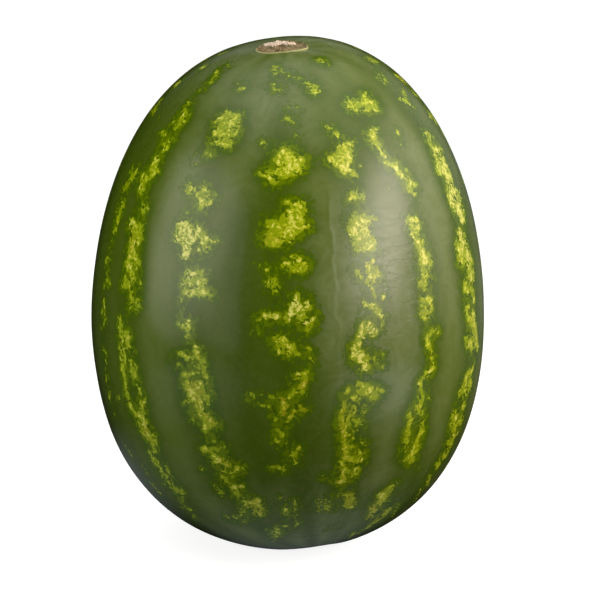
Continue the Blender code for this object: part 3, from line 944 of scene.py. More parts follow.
class StripePainter:
    """Turns strokes into painted values on the skin."""

    POLAR_MM = 2.24
    GIRTH_MM = 1.92
    INK_REACH = 2.0
    FULL_INK = 0.995
    HALO_MM = 6.5
    HALO_STRENGTH = 0.55
    FRINGE_MM = 3.0
    FRINGE_STRENGTH = 0.9
    FIELD_DEGREES = 7.5
    # Deep green lanes along the stripes; the lane at -80 degrees has no stripe and paints the left edge
    # darker: painted shade.
    CENTRES = ((-80, 0.9), (-66, 0.9), (-53, 0.8), (-28, 0.95), (-1, 0.98), (22, 0.55),
               (43, 0.7), (67, 0.98))
    HIDDEN_FIELD = 0.85
    EXTRA_LANES = (
        Lane(-13, 9, 0.95, opens=(48, 66), closes=(136, 146)),
        Lane(7, 8, 0.7, opens=(98, 108), closes=(138, 146)),
        # Paints the left edge darker: painted shade.
        Lane(-76, 6, 0.6),
    )
    LOW_RIGHT_FIELD = Patch(55, 145, 9, 9, 0.8)
    STEM_FIELD = 0.45
    STEM_FIELD_FADE = (22.0, 50.0)
    # Places under the lamps' reflections where the deep green is taken out: painted highlight.
    HIGHLIT_FLANKS = (
        Patch(24, 84, 15, 28), Patch(44, 62, 8, 14), Patch(-35, 57, 9, 13, 0.7),
    )
    # Marks painted paler, partly their own cream and partly painted highlight where the lamps fall.
    PALE_AND_HIGHLIT_MARKS = (
        Patch(-29, 71, 7, 13, 0.5), Patch(23, 66, 7, 16, 0.12),
        Patch(42, 72, 6, 16, 0.1), Patch(67, 72, 9, 22, 0.5),
        Patch(-26, 110, 6, 8, 0.15), Patch(2, 87, 7, 7, 0.45),
        Patch(22, 98, 7, 12, 0.4),
    )
    # The scuffs lie under the right lamp's reflection; besides relief and gloss they paint the skin paler
    # there: real wear with painted sheen.
    SCUFFS = Patch(33, 82, 15, 24)

    def __init__(self, polar: Array, longitude: Array) -> None:
        """Keep where each vertex grew.

        Args:
            polar: degrees from the stem end.
            longitude: degrees round the fruit from its front.
        """
        self.polar = polar
        self.longitude = longitude
        self.girth = self.GIRTH_MM * np.sin(np.radians(polar))

    def turn(self, longitude: float) -> Array:
        """Degrees of longitude from each vertex, the short way round."""
        return (self.longitude - longitude + 180.0) % 360.0 - 180.0

    def distance_mm(self, stroke: Stroke) -> Array:
        """Distance of each vertex from a stroke's centre line.

        Args:
            stroke: the mark.

        Returns:
            Millimetres over the skin.
        """
        x = self.turn(stroke.longitude) * self.girth
        y = (self.polar - stroke.polar) * self.POLAR_MM
        run = (stroke.longitude_end - stroke.longitude) * self.girth
        rise = (stroke.polar_end - stroke.polar) * self.POLAR_MM
        square = run**2 + rise**2
        share = np.clip((x * run + y * rise) / np.maximum(square, 1.0e-9), 0.0, 1.0)
        return np.hypot(x - share * run, y - share * rise)

    def marks(self, strokes: list[Stroke]) -> dict[str, Array]:
        """Paint every stroke.

        Args:
            strokes: all marks.

        Returns:
            Painted values by name: mark, halo, fringe and tan.
        """
        clear = np.ones_like(self.polar)
        clear_halo = np.ones_like(self.polar)
        clear_fringe = np.ones_like(self.polar)
        tan = np.zeros_like(self.polar)
        for stroke in strokes:
            distance, wide = self.distance_mm(stroke), stroke.half_width_mm
            ink = stroke.strength * (1.0 - smoothstep(0.0, self.INK_REACH, distance / wide))
            clear *= 1.0 - np.clip(ink, 0.0, self.FULL_INK)
            halo = self.HALO_STRENGTH * stroke.strength * bell(distance, self.HALO_MM + wide)
            fringe = self.FRINGE_STRENGTH * stroke.strength * bell(distance, self.FRINGE_MM + wide)
            clear_halo *= 1.0 - halo
            clear_fringe *= 1.0 - fringe
            tan = np.maximum(tan, stroke.tan * ink)
        return {"mark": 1.0 - clear, "halo": 1.0 - clear_halo, "fringe": 1.0 - clear_fringe, "tan": tan}

    def patch(self, place: Patch) -> Array:
        """How strongly a patch shows at each vertex."""
        across = bell(self.turn(place.longitude), place.wide)
        return place.amount * across * bell(self.polar - place.polar, place.tall)

    def patches(self, places: tuple[Patch, ...]) -> Array:
        """Several patches added together."""
        return sum(self.patch(place) for place in places)

    def lane(self, band: Lane) -> Array:
        """How strongly a lane shows at each vertex."""
        shown = smoothstep(*band.opens, self.polar) * (1.0 - smoothstep(*band.closes, self.polar))
        return band.amount * shown * bell(self.turn(band.longitude), band.wide)

    def field(self) -> Array:
        """Deep green ground along each stripe, and painted shade at the left edge, zero to one."""
        hidden = tuple((centre, self.HIDDEN_FIELD) for centre in HiddenStripes().longitudes)
        lanes = [Lane(centre, self.FIELD_DEGREES, amount) for centre, amount in self.CENTRES + hidden]
        clear = 1.0 - self.patch(self.LOW_RIGHT_FIELD)
        for band in (*lanes, *self.EXTRA_LANES):
            clear *= 1.0 - self.lane(band)
        grown = smoothstep(*self.STEM_FIELD_FADE, self.polar)
        return (1.0 - clear) * (self.STEM_FIELD + (1.0 - self.STEM_FIELD) * grown)

    def highlit_flank(self) -> Array:
        """Places under the lamps' reflections where the deep green is painted out as highlight, zero to one.
        """
        return np.maximum.reduce([self.patch(place) for place in self.HIGHLIT_FLANKS])


# ------------ finishes


class Tone(Enum):
    """Colours of the fruit, in linear light."""

    DEEP_GREEN = linear(54, 75, 0)
    RIND_GREEN = linear(83, 100, 14)
    # Grey of the waxy bloom; the same grey is also painted as sheen where lamps and the floor show in the
    # gloss.
    BLOOM_AND_SHEEN_GREY = linear(110, 122, 72)
    FRINGE_GREEN = linear(66, 92, 0)
    FRINGE_LIME = linear(97, 118, 0)
    MARK_OLIVE = linear(133, 151, 0)
    MARK_YELLOW = linear(179, 187, 22)
    MARK_CREAM = linear(215, 213, 104)
    MARK_TAN = linear(150, 120, 22)
    CORK = linear(157, 140, 102)
    CORK_DARK = linear(77, 66, 40)
    CORK_RED = linear(140, 104, 58)
    PULP = linear(232, 208, 184)
    RIM = linear(172, 172, 116)


class SharedEffects:
    """Shader groups that more than one finish uses.

    A noise is given by its octaves, roughness and warp; its scale comes from the group's input.
    """

    LOBES = (4.0, 0.62, 1.3)
    LOBE_PULL = 4.8
    GRAIN = (2.0, 0.5, 0.6)
    GRAINS_PER_LOBE = 2.7
    GRAIN_PULL = 1.7
    FRAYED_FROM = (0.02, 0.3)
    SWELL = (3.0, 0.5, 0.0)
    PITS_PER_SWELL = 0.8
    PIT_EDGE = (0.0, 0.45)

    def __init__(self) -> None:
        """Build each group once."""
        self.ragged = self.ragged_edge()
        self.pebble = self.pebble_height()

    def ragged_edge(self) -> bpy.types.NodeTree:
        """Group that frays a soft painted value into feathery lobes."""
        graph, given, result = new_group(
            "ragged_edge",
            "ShaderNodeTree",
            {"Vector": ("NodeSocketVector", None), "Value": ("NodeSocketFloat", 0.0),
             "Lobes": ("NodeSocketFloat", 300.0), "Depth": ("NodeSocketFloat", 0.6)},
            {"Value": "NodeSocketFloat", "Grain": "NodeSocketFloat"},
        )
        place, value, scale = (given.outputs[name] for name in ("Vector", "Value", "Lobes"))
        lobes = graph.noise(place, scale, *self.LOBES)
        grain = graph.noise(place, graph.product(scale, self.GRAINS_PER_LOBE), *self.GRAIN)
        shift = graph.sum(
            graph.product(graph.minus(lobes, 0.5), self.LOBE_PULL),
            graph.product(graph.minus(grain, 0.5), self.GRAIN_PULL),
        )
        gate = graph.ramp(value, *self.FRAYED_FROM)
        graph.feed(result, "Value", graph.sum(value, graph.product(shift, given.outputs["Depth"], gate)))
        graph.feed(result, "Grain", grain)
        return graph.tree

    def pebble_height(self) -> bpy.types.NodeTree:
        """Group with the fine uneven height of a waxy or corky skin."""
        graph, given, result = new_group(
            "pebble_height",
            "ShaderNodeTree",
            {"Vector": ("NodeSocketVector", None), "Scale": ("NodeSocketFloat", 900.0),
             "Pits": ("NodeSocketFloat", 0.3)},
            {"Height": "NodeSocketFloat"},
        )
        place, scale = given.outputs["Vector"], given.outputs["Scale"]
        swell = graph.noise(place, scale, *self.SWELL)
        cells = graph.add(
            "ShaderNodeTexVoronoi",
            {"Vector": place, "Scale": graph.product(scale, self.PITS_PER_SWELL)},
            feature="SMOOTH_F1",
        ).outputs["Distance"]
        pits = graph.product(given.outputs["Pits"], graph.ramp(cells, *self.PIT_EDGE))
        graph.feed(result, "Height", graph.sum(swell, pits))
        return graph.tree


@dataclass(frozen=True)
class Gloss:
    """Constant values of a finish's surface."""

    specular: float = 0.5
    coat_roughness: float = 0.12
    coat_ior: float = 1.45


class Finish:
    """A named material with one Principled shader."""

    def __init__(self, name: str, gloss: Gloss, effects: SharedEffects) -> None:
        """Start the material.

        Args:
            name: the material's name.
            gloss: its constant surface values.
            effects: the shared shader groups.
        """
        self.material = bpy.data.materials.new(name)
        self.material.use_nodes = True
        self.effects = effects
        self.graph = Graph(self.material.node_tree)
        self.shader = self.material.node_tree.nodes["Principled BSDF"]
        self.shader.inputs["Specular IOR Level"].default_value = gloss.specular
        self.shader.inputs["Coat Roughness"].default_value = gloss.coat_roughness
        self.shader.inputs["Coat IOR"].default_value = gloss.coat_ior
        self.place = self.graph.add("ShaderNodeTexCoord").outputs["Object"]

    def group(self, tree: bpy.types.NodeTree, links: dict) -> bpy.types.Node:
        """Place a shared group with its own values.

        Args:
            tree: the group.
            links: input name to a value or a socket.

        Returns:
            The group's node.
        """
        node = self.graph.add("ShaderNodeGroup", node_tree=tree)
        for key, value in {"Vector": self.place, **links}.items():
            self.graph.feed(node, key, value)
        return node

    def frayed(self, painted: str, lobes: float, depth: float) -> tuple[Socket, Socket]:
        """Frayed copy of a painted value.

        Args:
            painted: the value's name.
            lobes: lobes per metre along its edge.
            depth: how deep they cut.

        Returns:
            The frayed value and the fine grain in it.
        """
        links = {"Value": self.graph.attribute(painted), "Lobes": lobes, "Depth": depth}
        node = self.group(self.effects.ragged, links)
        return node.outputs["Value"], node.outputs["Grain"]

    def pebbled(self, scale: float, pits: float) -> Socket:
        """Fine uneven height."""
        return self.group(self.effects.pebble, {"Scale": scale, "Pits": pits}).outputs["Height"]

    def bump(self, height: Socket, strength: float, distance: float) -> Socket:
        """Normal from a height."""
        node = self.graph.add(
            "ShaderNodeBump", {"Height": height, "Strength": strength, "Distance": distance}
        )
        return node.outputs["Normal"]

    def dress(self, **sockets: Value) -> bpy.types.Material:
        """Feed the shader's inputs, named with underscores for spaces.

        Args:
            **sockets: value or socket for each input.

        Returns:
            The finished material.
        """
        for name, value in sockets.items():
            self.graph.feed(self.shader, name.replace("_", " "), value)
        return self.material


@dataclass(frozen=True)
class RindFinish:
    """Waxy green skin with frayed pale marks, bloom and painted sheen, fine pores and scuffs.

    A noise is given by its cells per metre, octaves, roughness and warp. An edge is the pair of
    values that a ramp eases between; other pairs are the range that a noise is spread over.
    """

    gloss: Gloss = Gloss(specular=0.34, coat_roughness=0.1)
    cloud: Noise = (34.0, 4.0, 0.6, 0.6)
    cloud_bloom: Range = (0.55, 1.3)
    cloud_depth: Range = (0.8, 1.15)
    patches: Noise = (90.0, 5.0, 0.6, 1.6)
    patch_edge: Range = (0.42, 0.58)
    patch_bloom: Range = (0.8, 1.2)
    patch_depth: Range = (1.06, 0.92)
    field_depth: float = 0.75
    flecks: Noise = (420.0, 3.0, 0.6)
    fleck_edge: Range = (0.4, 0.75)
    fleck_share: float = 0.1
    lobes_per_metre: float = 250.0
    fray_depth: float = 0.62
    streaks: Noise = (330.0, 3.0, 0.6, 1.1)
    streak_pull: float = 3.4
    fringes: tuple[tuple[Range, float, Tone], ...] = (
        ((0.12, 0.42), 0.85, Tone.FRINGE_GREEN), ((0.45, 0.85), 0.92, Tone.FRINGE_LIME),
    )
    solid_edge: Range = (0.32, 0.62)
    ripe_edge: Range = (0.74, 1.18)
    pale_edge: Range = (1.12, 1.58)
    tan_edge: Range = (0.46, 0.6)
    pores_per_metre: float = 1100.0
    pore_pits: float = 0.35
    waves: Noise = (120.0, 3.0, 0.5)
    scuffs: Noise = (130.0, 5.0, 0.65, 0.5)
    scuff_squeeze: tuple[float, float, float] = (1.0, 1.0, 2.6)
    scuff_edge: Range = (0.46, 0.66)
    scuff_sheen_share: float = 0.3
    pore_height: float = 0.5
    wave_height: float = 1.2
    mark_height: float = 0.25
    scuff_height: float = -1.6
    bump_strength: float = 0.35
    bump_distance: float = 0.12 * MM
    least_roughness: float = 0.2
    mark_roughness: float = 0.1
    scuff_roughness: float = 0.12
    wave_roughness: float = 0.12
    coat: float = 0.45
    coat_lost_in_bloom: float = 0.12

    def ground(self, finish: Finish) -> Socket:
        """Colour of the skin under the marks.

        Args:
            finish: the material being made.

        Returns:
            The ground colour.
        """
        graph = finish.graph
        cloud = graph.noise(finish.place, *self.cloud)
        patches = graph.ramp(graph.noise(finish.place, *self.patches), *self.patch_edge)
        # The grey laid here is partly waxy bloom and partly painted sheen, and less of it paints the left
        # side darker.
        bloom_and_sheen = graph.product(graph.attribute("bloom_and_sheen"), graph.span(cloud, *self.cloud_bloom),
                              graph.span(patches, *self.patch_bloom))
        colour = graph.mix(bloom_and_sheen, Tone.RIND_GREEN.value, Tone.BLOOM_AND_SHEEN_GREY.value)
        depth = graph.math("MAXIMUM", graph.product(graph.attribute("field"), self.field_depth),
                           graph.attribute("halo"))
        depth = graph.product(depth, graph.span(cloud, *self.cloud_depth),
                              graph.span(patches, *self.patch_depth))
        colour = graph.mix(graph.math("MINIMUM", depth, 1.0), colour, Tone.DEEP_GREEN.value)
        flecks = graph.ramp(graph.noise(finish.place, *self.flecks), *self.fleck_edge)
        return graph.mix(graph.product(flecks, self.fleck_share), colour, Tone.BLOOM_AND_SHEEN_GREY.value)

    def marks(self, finish: Finish, ground: Socket) -> tuple[Socket, Socket]:
        """Frayed marks over the ground.

        Args:
            finish: the material being made.
            ground: colour under them.

        Returns:
            The colour with the marks, and how much of each spot is mark.
        """
        graph = finish.graph
        level, grain = finish.frayed("mark", self.lobes_per_metre, self.fray_depth)
        near, _ = finish.frayed("fringe", self.lobes_per_metre, self.fray_depth)
        colour = ground
        for edge, share, tone in self.fringes:
            colour = graph.mix(graph.product(graph.ramp(near, *edge), share), colour, tone.value)
        solid = graph.ramp(level, *self.solid_edge)
        colour = graph.mix(solid, colour, Tone.MARK_OLIVE.value)
        streaks = graph.minus(graph.noise(finish.place, *self.streaks), 0.5)
        streaked = graph.sum(level, graph.product(streaks, self.streak_pull))
        ripe = graph.ramp(streaked, *self.ripe_edge)
        colour = graph.mix(graph.product(solid, ripe), colour, Tone.MARK_YELLOW.value)
        # Marks are painted paler where the lamps fall: partly their own cream, partly painted highlight.
        pale = graph.ramp(graph.sum(streaked, graph.attribute("pale_and_highlit")), *self.pale_edge)
        colour = graph.mix(graph.product(solid, pale), colour, Tone.MARK_CREAM.value)
        tan = graph.product(graph.attribute("tan"), graph.ramp(grain, *self.tan_edge), solid)
        return graph.mix(tan, colour, Tone.MARK_TAN.value), solid

    def build(self, effects: SharedEffects) -> bpy.types.Material:
        """Make the material.

        Args:
            effects: the shared shader groups.

        Returns:
            The rind's material.
        """
        finish = Finish("waxy_rind", self.gloss, effects)
        graph = finish.graph
        colour, solid = self.marks(finish, self.ground(finish))
        waves = graph.noise(finish.place, *self.waves)
        stretched = graph.vector("MULTIPLY", finish.place, self.scuff_squeeze)
        scuffs = graph.product(graph.ramp(graph.noise(stretched, *self.scuffs), *self.scuff_edge),
                               graph.attribute("scuff"))
        height = graph.sum(
            graph.product(finish.pebbled(self.pores_per_metre, self.pore_pits), self.pore_height),
            graph.product(waves, self.wave_height),
            graph.product(solid, self.mark_height),
            graph.product(scuffs, self.scuff_height),
        )
        roughness = graph.sum(
            self.least_roughness,
            graph.product(solid, self.mark_roughness),
            graph.product(scuffs, self.scuff_roughness),
            graph.product(graph.minus(waves, 0.5), self.wave_roughness),
        )
        # The scuffs' paler colour is partly painted sheen under the right lamp's reflection.
        return finish.dress(
            Base_Color=graph.mix(graph.product(scuffs, self.scuff_sheen_share), colour, Tone.BLOOM_AND_SHEEN_GREY.value),
            Roughness=roughness,
            Coat_Weight=graph.minus(
                self.coat, graph.product(graph.attribute("bloom_and_sheen"), self.coat_lost_in_bloom)
            ),
            Normal=finish.bump(height, self.bump_strength, self.bump_distance),
        )


@dataclass(frozen=True)
class CorkFinish:
    """Dry fibrous scar with torn pale pulp and a thin yellow-green rim.

    Noises, edges and pairs are given as in the rind's finish.
    """

    name: str
    gloss: Gloss = Gloss(specular=0.2, coat_roughness=0.4)
    streaks: Noise = (620.0, 5.0, 0.7, 0.8)
    ridge_pull: float = 0.45
    light_edge: Range = (0.5, 0.95)
    stains: Noise = (190.0, 3.0, 0.55)
    stain_edge: Range = (0.48, 0.66)
    stain_share: float = 0.4
    pulp_lobes_per_metre: float = 520.0
    pulp_fray: float = 0.5
    pulp_edge: Range = (0.4, 0.62)
    pit_edge: Range = (0.55, 0.66)
    pit_share: float = 0.8
    grains_per_metre: float = 1500.0
    grain_pits: float = 0.6
    streak_height: float = 1.5
    roughness: Range = (0.62, 0.92)
    bump_strength: float = 0.8
    bump_distance: float = 0.3 * MM

    def build(self, effects: SharedEffects) -> bpy.types.Material:
        """Make the material.

        Args:
            effects: the shared shader groups.

        Returns:
            The scar's material.
        """
        finish = Finish(self.name, self.gloss, effects)
        graph = finish.graph
        streaks = graph.noise(finish.place, *self.streaks)
        # The raised strands are painted lighter and the grooves between them darker: partly the cork's own
        # streaks, partly painted shade in the grooves.
        ridged = graph.sum(streaks, graph.product(graph.attribute("ridge"), self.ridge_pull))
        colour = graph.mix(graph.ramp(ridged, *self.light_edge), Tone.CORK_DARK.value, Tone.CORK.value)
        stains = graph.ramp(graph.noise(finish.place, *self.stains), *self.stain_edge)
        colour = graph.mix(graph.product(stains, self.stain_share), colour, Tone.CORK_RED.value)
        torn, _ = finish.frayed("pulp", self.pulp_lobes_per_metre, self.pulp_fray)
        pulp = graph.ramp(torn, *self.pulp_edge)
        colour = graph.mix(pulp, colour, Tone.PULP.value)
        pits = graph.product(graph.ramp(streaks, *self.pit_edge), pulp, self.pit_share)
        colour = graph.mix(pits, colour, Tone.CORK_DARK.value)
        height = graph.sum(finish.pebbled(self.grains_per_metre, self.grain_pits),
                           graph.product(streaks, self.streak_height))
        return finish.dress(
            Base_Color=graph.mix(graph.attribute("rim"), colour, Tone.RIM.value),
            Roughness=graph.span(streaks, *self.roughness),
            Coat_Weight=0.0,
            Normal=finish.bump(height, self.bump_strength, self.bump_distance),
        )


# ------------ rind


@dataclass(frozen=True)
class Crease:
    """Fine upright ridge right of the front; its path is in degrees of growth."""

    longitude: float = 14.3
    polar: float = 67.0
    lean: float = 0.05
    step: float = 0.9
    step_polar: Range = (91.0, 94.0)
    sways: tuple[Range, ...] = ((0.35, 0.55), (0.2, 1.3))
    opens: Range = (52.0, 66.0)
    closes: Range = (98.0, 116.0)
    half_width_mm: float = 1.1
    height: float = 0.14 * MM
    # Grey painted right of the ridge: bloom and the painted edge of a lamp's reflection.
    bloom_and_sheen: float = 0.3
    bloom_and_sheen_opens: Range = (-0.6, 0.8)
    bloom_and_sheen_closes: Range = (2.0, 22.0)

    def right_of(self, painter: StripePainter) -> Array:
        """Degrees of longitude from the ridge's wandering path to each vertex."""
        path = self.longitude - self.lean * (painter.polar - self.polar)
        path += self.step * smoothstep(*self.step_polar, painter.polar)
        for reach, pitch in self.sways:
            path += reach * np.sin(painter.polar * pitch)
        return painter.longitude - path

    def length(self, painter: StripePainter) -> Array:
        """Where the ridge shows from end to end, zero to one."""
        return smoothstep(*self.opens, painter.polar) * (1.0 - smoothstep(*self.closes, painter.polar))

    def rise(self, painter: StripePainter) -> Array:
        """Height of the ridge."""
        across = bell(self.right_of(painter) * painter.GIRTH_MM, self.half_width_mm)
        return self.height * self.length(painter) * across

    def bloom_and_sheen_beside(self, painter: StripePainter) -> Array:
        """Painted sheen and extra bloom on the ridge's right side, where a lamp's reflection ends."""
        right = self.right_of(painter)
        edge = smoothstep(*self.bloom_and_sheen_opens, right) * (1.0 - smoothstep(*self.bloom_and_sheen_closes, right))
        return self.bloom_and_sheen * edge * self.length(painter)


@dataclass(frozen=True)
class BloomAndSheen:
    """Where pale waxy bloom lies on the skin, with painted sheen and painted shade; pairs are degrees
    between which it eases.
    """

    seed: int = 23
    mist_size: float = 0.09
    level: float = 0.55
    mist: float = 0.125
    lost_in_field: float = 0.85
    lost_at_blossom: float = 0.5
    blossom_fade: Range = (120.0, 160.0)
    # Half the grey on the left side paints that side darker: painted shade.
    left_level: float = 0.5
    left_fade: Range = (-45.0, 20.0)
    # More grey on the lower half: bloom and painted reflection of the floor.
    low_gain: float = 0.25
    low_fade: Range = (92.0, 112.0)
    # Greyer sides of the crown: painted reflection.
    crown_gain: float = 0.4
    crown_sides: Range = (30.0, 60.0)
    crown_fade: Range = (16.0, 30.0)
    # Slate grey at the foot: bloom and painted reflection of the floor.
    foot: Lane = Lane(4, 46, 0.6, opens=(126, 144))
    # Patches that grey the skin, or green it where negative: mostly painted sheen where the lamps show in
    # the gloss, and bloom round the stem end.
    patches: tuple[Patch, ...] = (
        Patch(23, 94, 13, 20, 0.85), Patch(-37, 50, 8, 9, 0.5),
        Patch(-3, 25, 10, 8, 0.35), Patch(35, 36, 14, 12, -0.2),
        Patch(-66, 26, 24, 16, 0.35), Patch(-10, 9, 50, 8, 0.35),
        Patch(-1, 26, 12, 9, 0.55), Patch(-64, 19, 16, 8, 0.8),
    )

    def over(self, painter: StripePainter, places: Array, ground: Array) -> Array:
        """Bloom, painted sheen and painted shade of each vertex.

        Args:
            painter: knows where each vertex grew.
            places: the vertices.
            ground: how deep green the ground is.

        Returns:
            The bloom, mostly zero to one.
        """
        front = painter.turn(0.0)
        ends = 1.0 - self.lost_at_blossom * smoothstep(*self.blossom_fade, painter.polar)
        side = self.left_level + (1.0 - self.left_level) * smoothstep(*self.left_fade, front)
        # The bloom with its painted sheen and shade, mostly zero to one.
        side += self.low_gain * smoothstep(*self.low_fade, painter.polar)
        mist = self.level + self.mist * Waves(self.seed, self.mist_size).at(places)
        bloom_and_sheen = (1.0 - self.lost_in_field * ground) * mist * ends * side
        crown = 1.0 - smoothstep(*self.crown_fade, painter.polar)
        bloom_and_sheen += self.crown_gain * smoothstep(*self.crown_sides, np.abs(front)) * crown
        return bloom_and_sheen + painter.lane(self.foot) + painter.patches(self.patches)


@dataclass
class Rind:
    """The whole skin of the fruit, with its low relief and its painted marks."""

    form: BodyForm
    funnel_radius: float = 24.0 * MM
    funnel_depth: float = 2.4 * MM
    funnel_offset: tuple[float, float, float] = (-6.0 * MM, 10.0 * MM, 0.0)
    fold_radius: float = 11.0 * MM
    fold_depth: float = 1.4 * MM
    fold_offset: tuple[float, float, float] = (16.0 * MM, -3.0 * MM, 0.0)
    scar_offset: tuple[float, float, float] = (-2.0 * MM, 0.0, 0.0)
    scar_aspect: float = 0.84
    seat_radius: float = 14.0 * MM
    seat_edge: float = 1.6 * MM
    seat_depth: float = 1.3 * MM
    dimple_radius: float = 9.5 * MM
    dimple_depth: float = 2.0 * MM
    rib_depth: float = 0.28 * MM
    rib_count: float = 15.0
    rib_turn: float = 10.0
    rib_wander: float = 5.0
    rib_wander_size: float = 0.16
    rib_seed: int = 5
    dent_depth: float = 0.1155 * MM
    dent_size: float = 0.055
    dent_limit: float = 1.5
    dent_seed: int = 11
    waist_power: float = 1.5
    rest_edge: Range = (0.4 * MM, 4.0 * MM)
    # How much halo and field the painted highlight takes out.
    halo_lost_in_highlight: float = 0.92
    field_lost_in_highlight: float = 0.7
    crease: Crease = Crease()
    bloom_and_sheen: BloomAndSheen = BloomAndSheen()
    mesh: bpy.types.Mesh = field(init=False)
    places: Array = field(init=False)
    shaped: Array = field(init=False)
    normals: Array = field(init=False)
    painter: StripePainter = field(init=False)

    def make(self, material: bpy.types.Material) -> None:
        """Grow, shape and paint the skin.

        Args:
            material: the rind's finish.
        """
        self.mesh = SkinTree(self.form).grow("melon_rind", material)
        self.places = vertex_array(self.mesh)
        self.normals = normal_array(self.mesh)
        self.painter = self.read_growth()
        self.shaped = self.places + self.normals * self.relief()[:, None]
        set_vertices(self.mesh, self.shaped)
        self.paint_marks()
        piece = finish_piece("melon_rind", self.mesh)
        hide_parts(NODE)

    def read_growth(self) -> StripePainter:
        """Turn the kept growth directions into a painter that knows each vertex's angles."""
        layer = self.mesh.attributes["growth"]
        directions = np.empty(len(self.mesh.vertices) * 3, dtype=np.float32)
        layer.data.foreach_get("vector", directions)
        self.mesh.attributes.remove(layer)
        x, y, z = directions.reshape(-1, 3).astype(float).T
        return StripePainter(np.degrees(np.arccos(np.clip(z, -1.0, 1.0))), np.degrees(np.arctan2(x, -y)))

    def end_place(self, polar: float) -> tuple[Vector, Vector]:
        """Place and outward normal of one end, from the few vertices that are closest to it.

        Args:
            polar: 0 for the stem end, 180 for the blossom end.

        Returns:
            The end's place and its normal.
        """
        away = np.abs(self.painter.polar - polar)
        near = np.argsort(away)[:16]
        weights = 1.0 / (0.05 + away[near])
        weights /= weights.sum()
        normal = Vector((self.normals[near] * weights[:, None]).sum(axis=0)).normalized()
        return Vector((self.places[near] * weights[:, None]).sum(axis=0)), normal

    def seat(self, polar: float, radius: float, offset: Vector) -> tuple[Vector, Vector]:
        """Find where a disc lies on the shaped skin at one end.

        Args:
            polar: 0 for the stem end, 180 for the blossom end.
            radius: the disc's radius.
            offset: how far the disc's middle is from the end's own middle.

        Returns:
            The disc's middle and its outward normal.
        """
        end, normal = self.end_place(polar)
        end += offset
        away = np.linalg.norm(self.places - np.array(end), axis=1)
        ring = self.shaped[np.abs(away - radius) < 0.08 * radius]
        middle = ring.mean(axis=0)
        across = Vector(np.linalg.svd(ring - middle)[2][2])
        across *= math.copysign(1.0, across.dot(normal))
        return Vector(middle) + across * radius**2 / (2.0 * SKIN_CURVE_RADIUS), across

    def away_from(self, middle: Vector, offset: tuple[float, float, float] = (0.0, 0.0, 0.0)) -> Array:
        """Distance of each vertex from a place beside a middle."""
        return np.linalg.norm(self.places - np.array(middle) - offset, axis=1)

    def relief(self) -> Array:
        """Height of every vertex over the smooth form; nearly all of it is let in below the form."""
        stem, _ = self.end_place(STEM_POLAR)
        blossom, _ = self.end_place(BLOSSOM_POLAR)
        stem += Vector(self.scar_offset)
        waist = np.sin(np.radians(self.painter.polar)) ** self.waist_power
        wander = self.rib_wander * Waves(self.rib_seed, self.rib_wander_size).at(self.places)
        turned = self.painter.longitude + wander + self.rib_turn
        ribs = 0.5 * (1.0 - np.cos(np.radians(turned * self.rib_count)))
        dents = Waves(self.dent_seed, self.dent_size).at(self.places)
        dents = np.clip(dents, -self.dent_limit, self.dent_limit) - self.dent_limit
        rise = (self.dent_depth * dents - self.rib_depth * ribs) * waist + self.crease.rise(self.painter)
        rise -= self.funnel_depth * bell(self.away_from(stem, self.funnel_offset), self.funnel_radius)
        rise -= self.fold_depth * bell(self.away_from(stem, self.fold_offset), self.fold_radius)
        oval = np.array([1.0, 1.0 / self.scar_aspect, 1.0])
        from_scar = np.linalg.norm((self.places - np.array(stem)) * oval, axis=1)
        inner = self.seat_radius - self.seat_edge
        rise -= self.seat_depth * (1.0 - smoothstep(inner, self.seat_radius, from_scar))
        rise -= self.dimple_depth * bell(self.away_from(blossom), self.dimple_radius)
        return rise * smoothstep(*self.rest_edge, self.places[:, 2])

    def paint_marks(self) -> None:
        """Store what the finish reads."""
        painter = self.painter
        painted = painter.marks(visible_strokes() + HiddenStripes().strokes())
        # Under the lamps' reflections the deep green halo is taken out: painted highlight.
        painted["halo"] *= 1.0 - self.halo_lost_in_highlight * painter.highlit_flank()
        # Marks painted paler, partly their own cream and partly painted highlight under the lamps.
        painted["pale_and_highlit"] = painter.patches(painter.PALE_AND_HIGHLIT_MARKS)
        # The deep green field is taken out there too: painted highlight.
        ground = painter.field() * (1.0 - self.field_lost_in_highlight * painter.highlit_flank())
        painted["field"] = ground
        # Bloom together with painted sheen and painted shade, and the painted reflection edge beside the
        # crease.
        bloom_and_sheen = self.bloom_and_sheen.over(painter, self.places, ground) + self.crease.bloom_and_sheen_beside(painter)
        painted["bloom_and_sheen"] = np.clip(bloom_and_sheen, 0.0, 1.0)
        painted["scuff"] = painter.patch(painter.SCUFFS)
        for name, values in painted.items():
            paint(self.mesh, name, values)


# ------------ scars


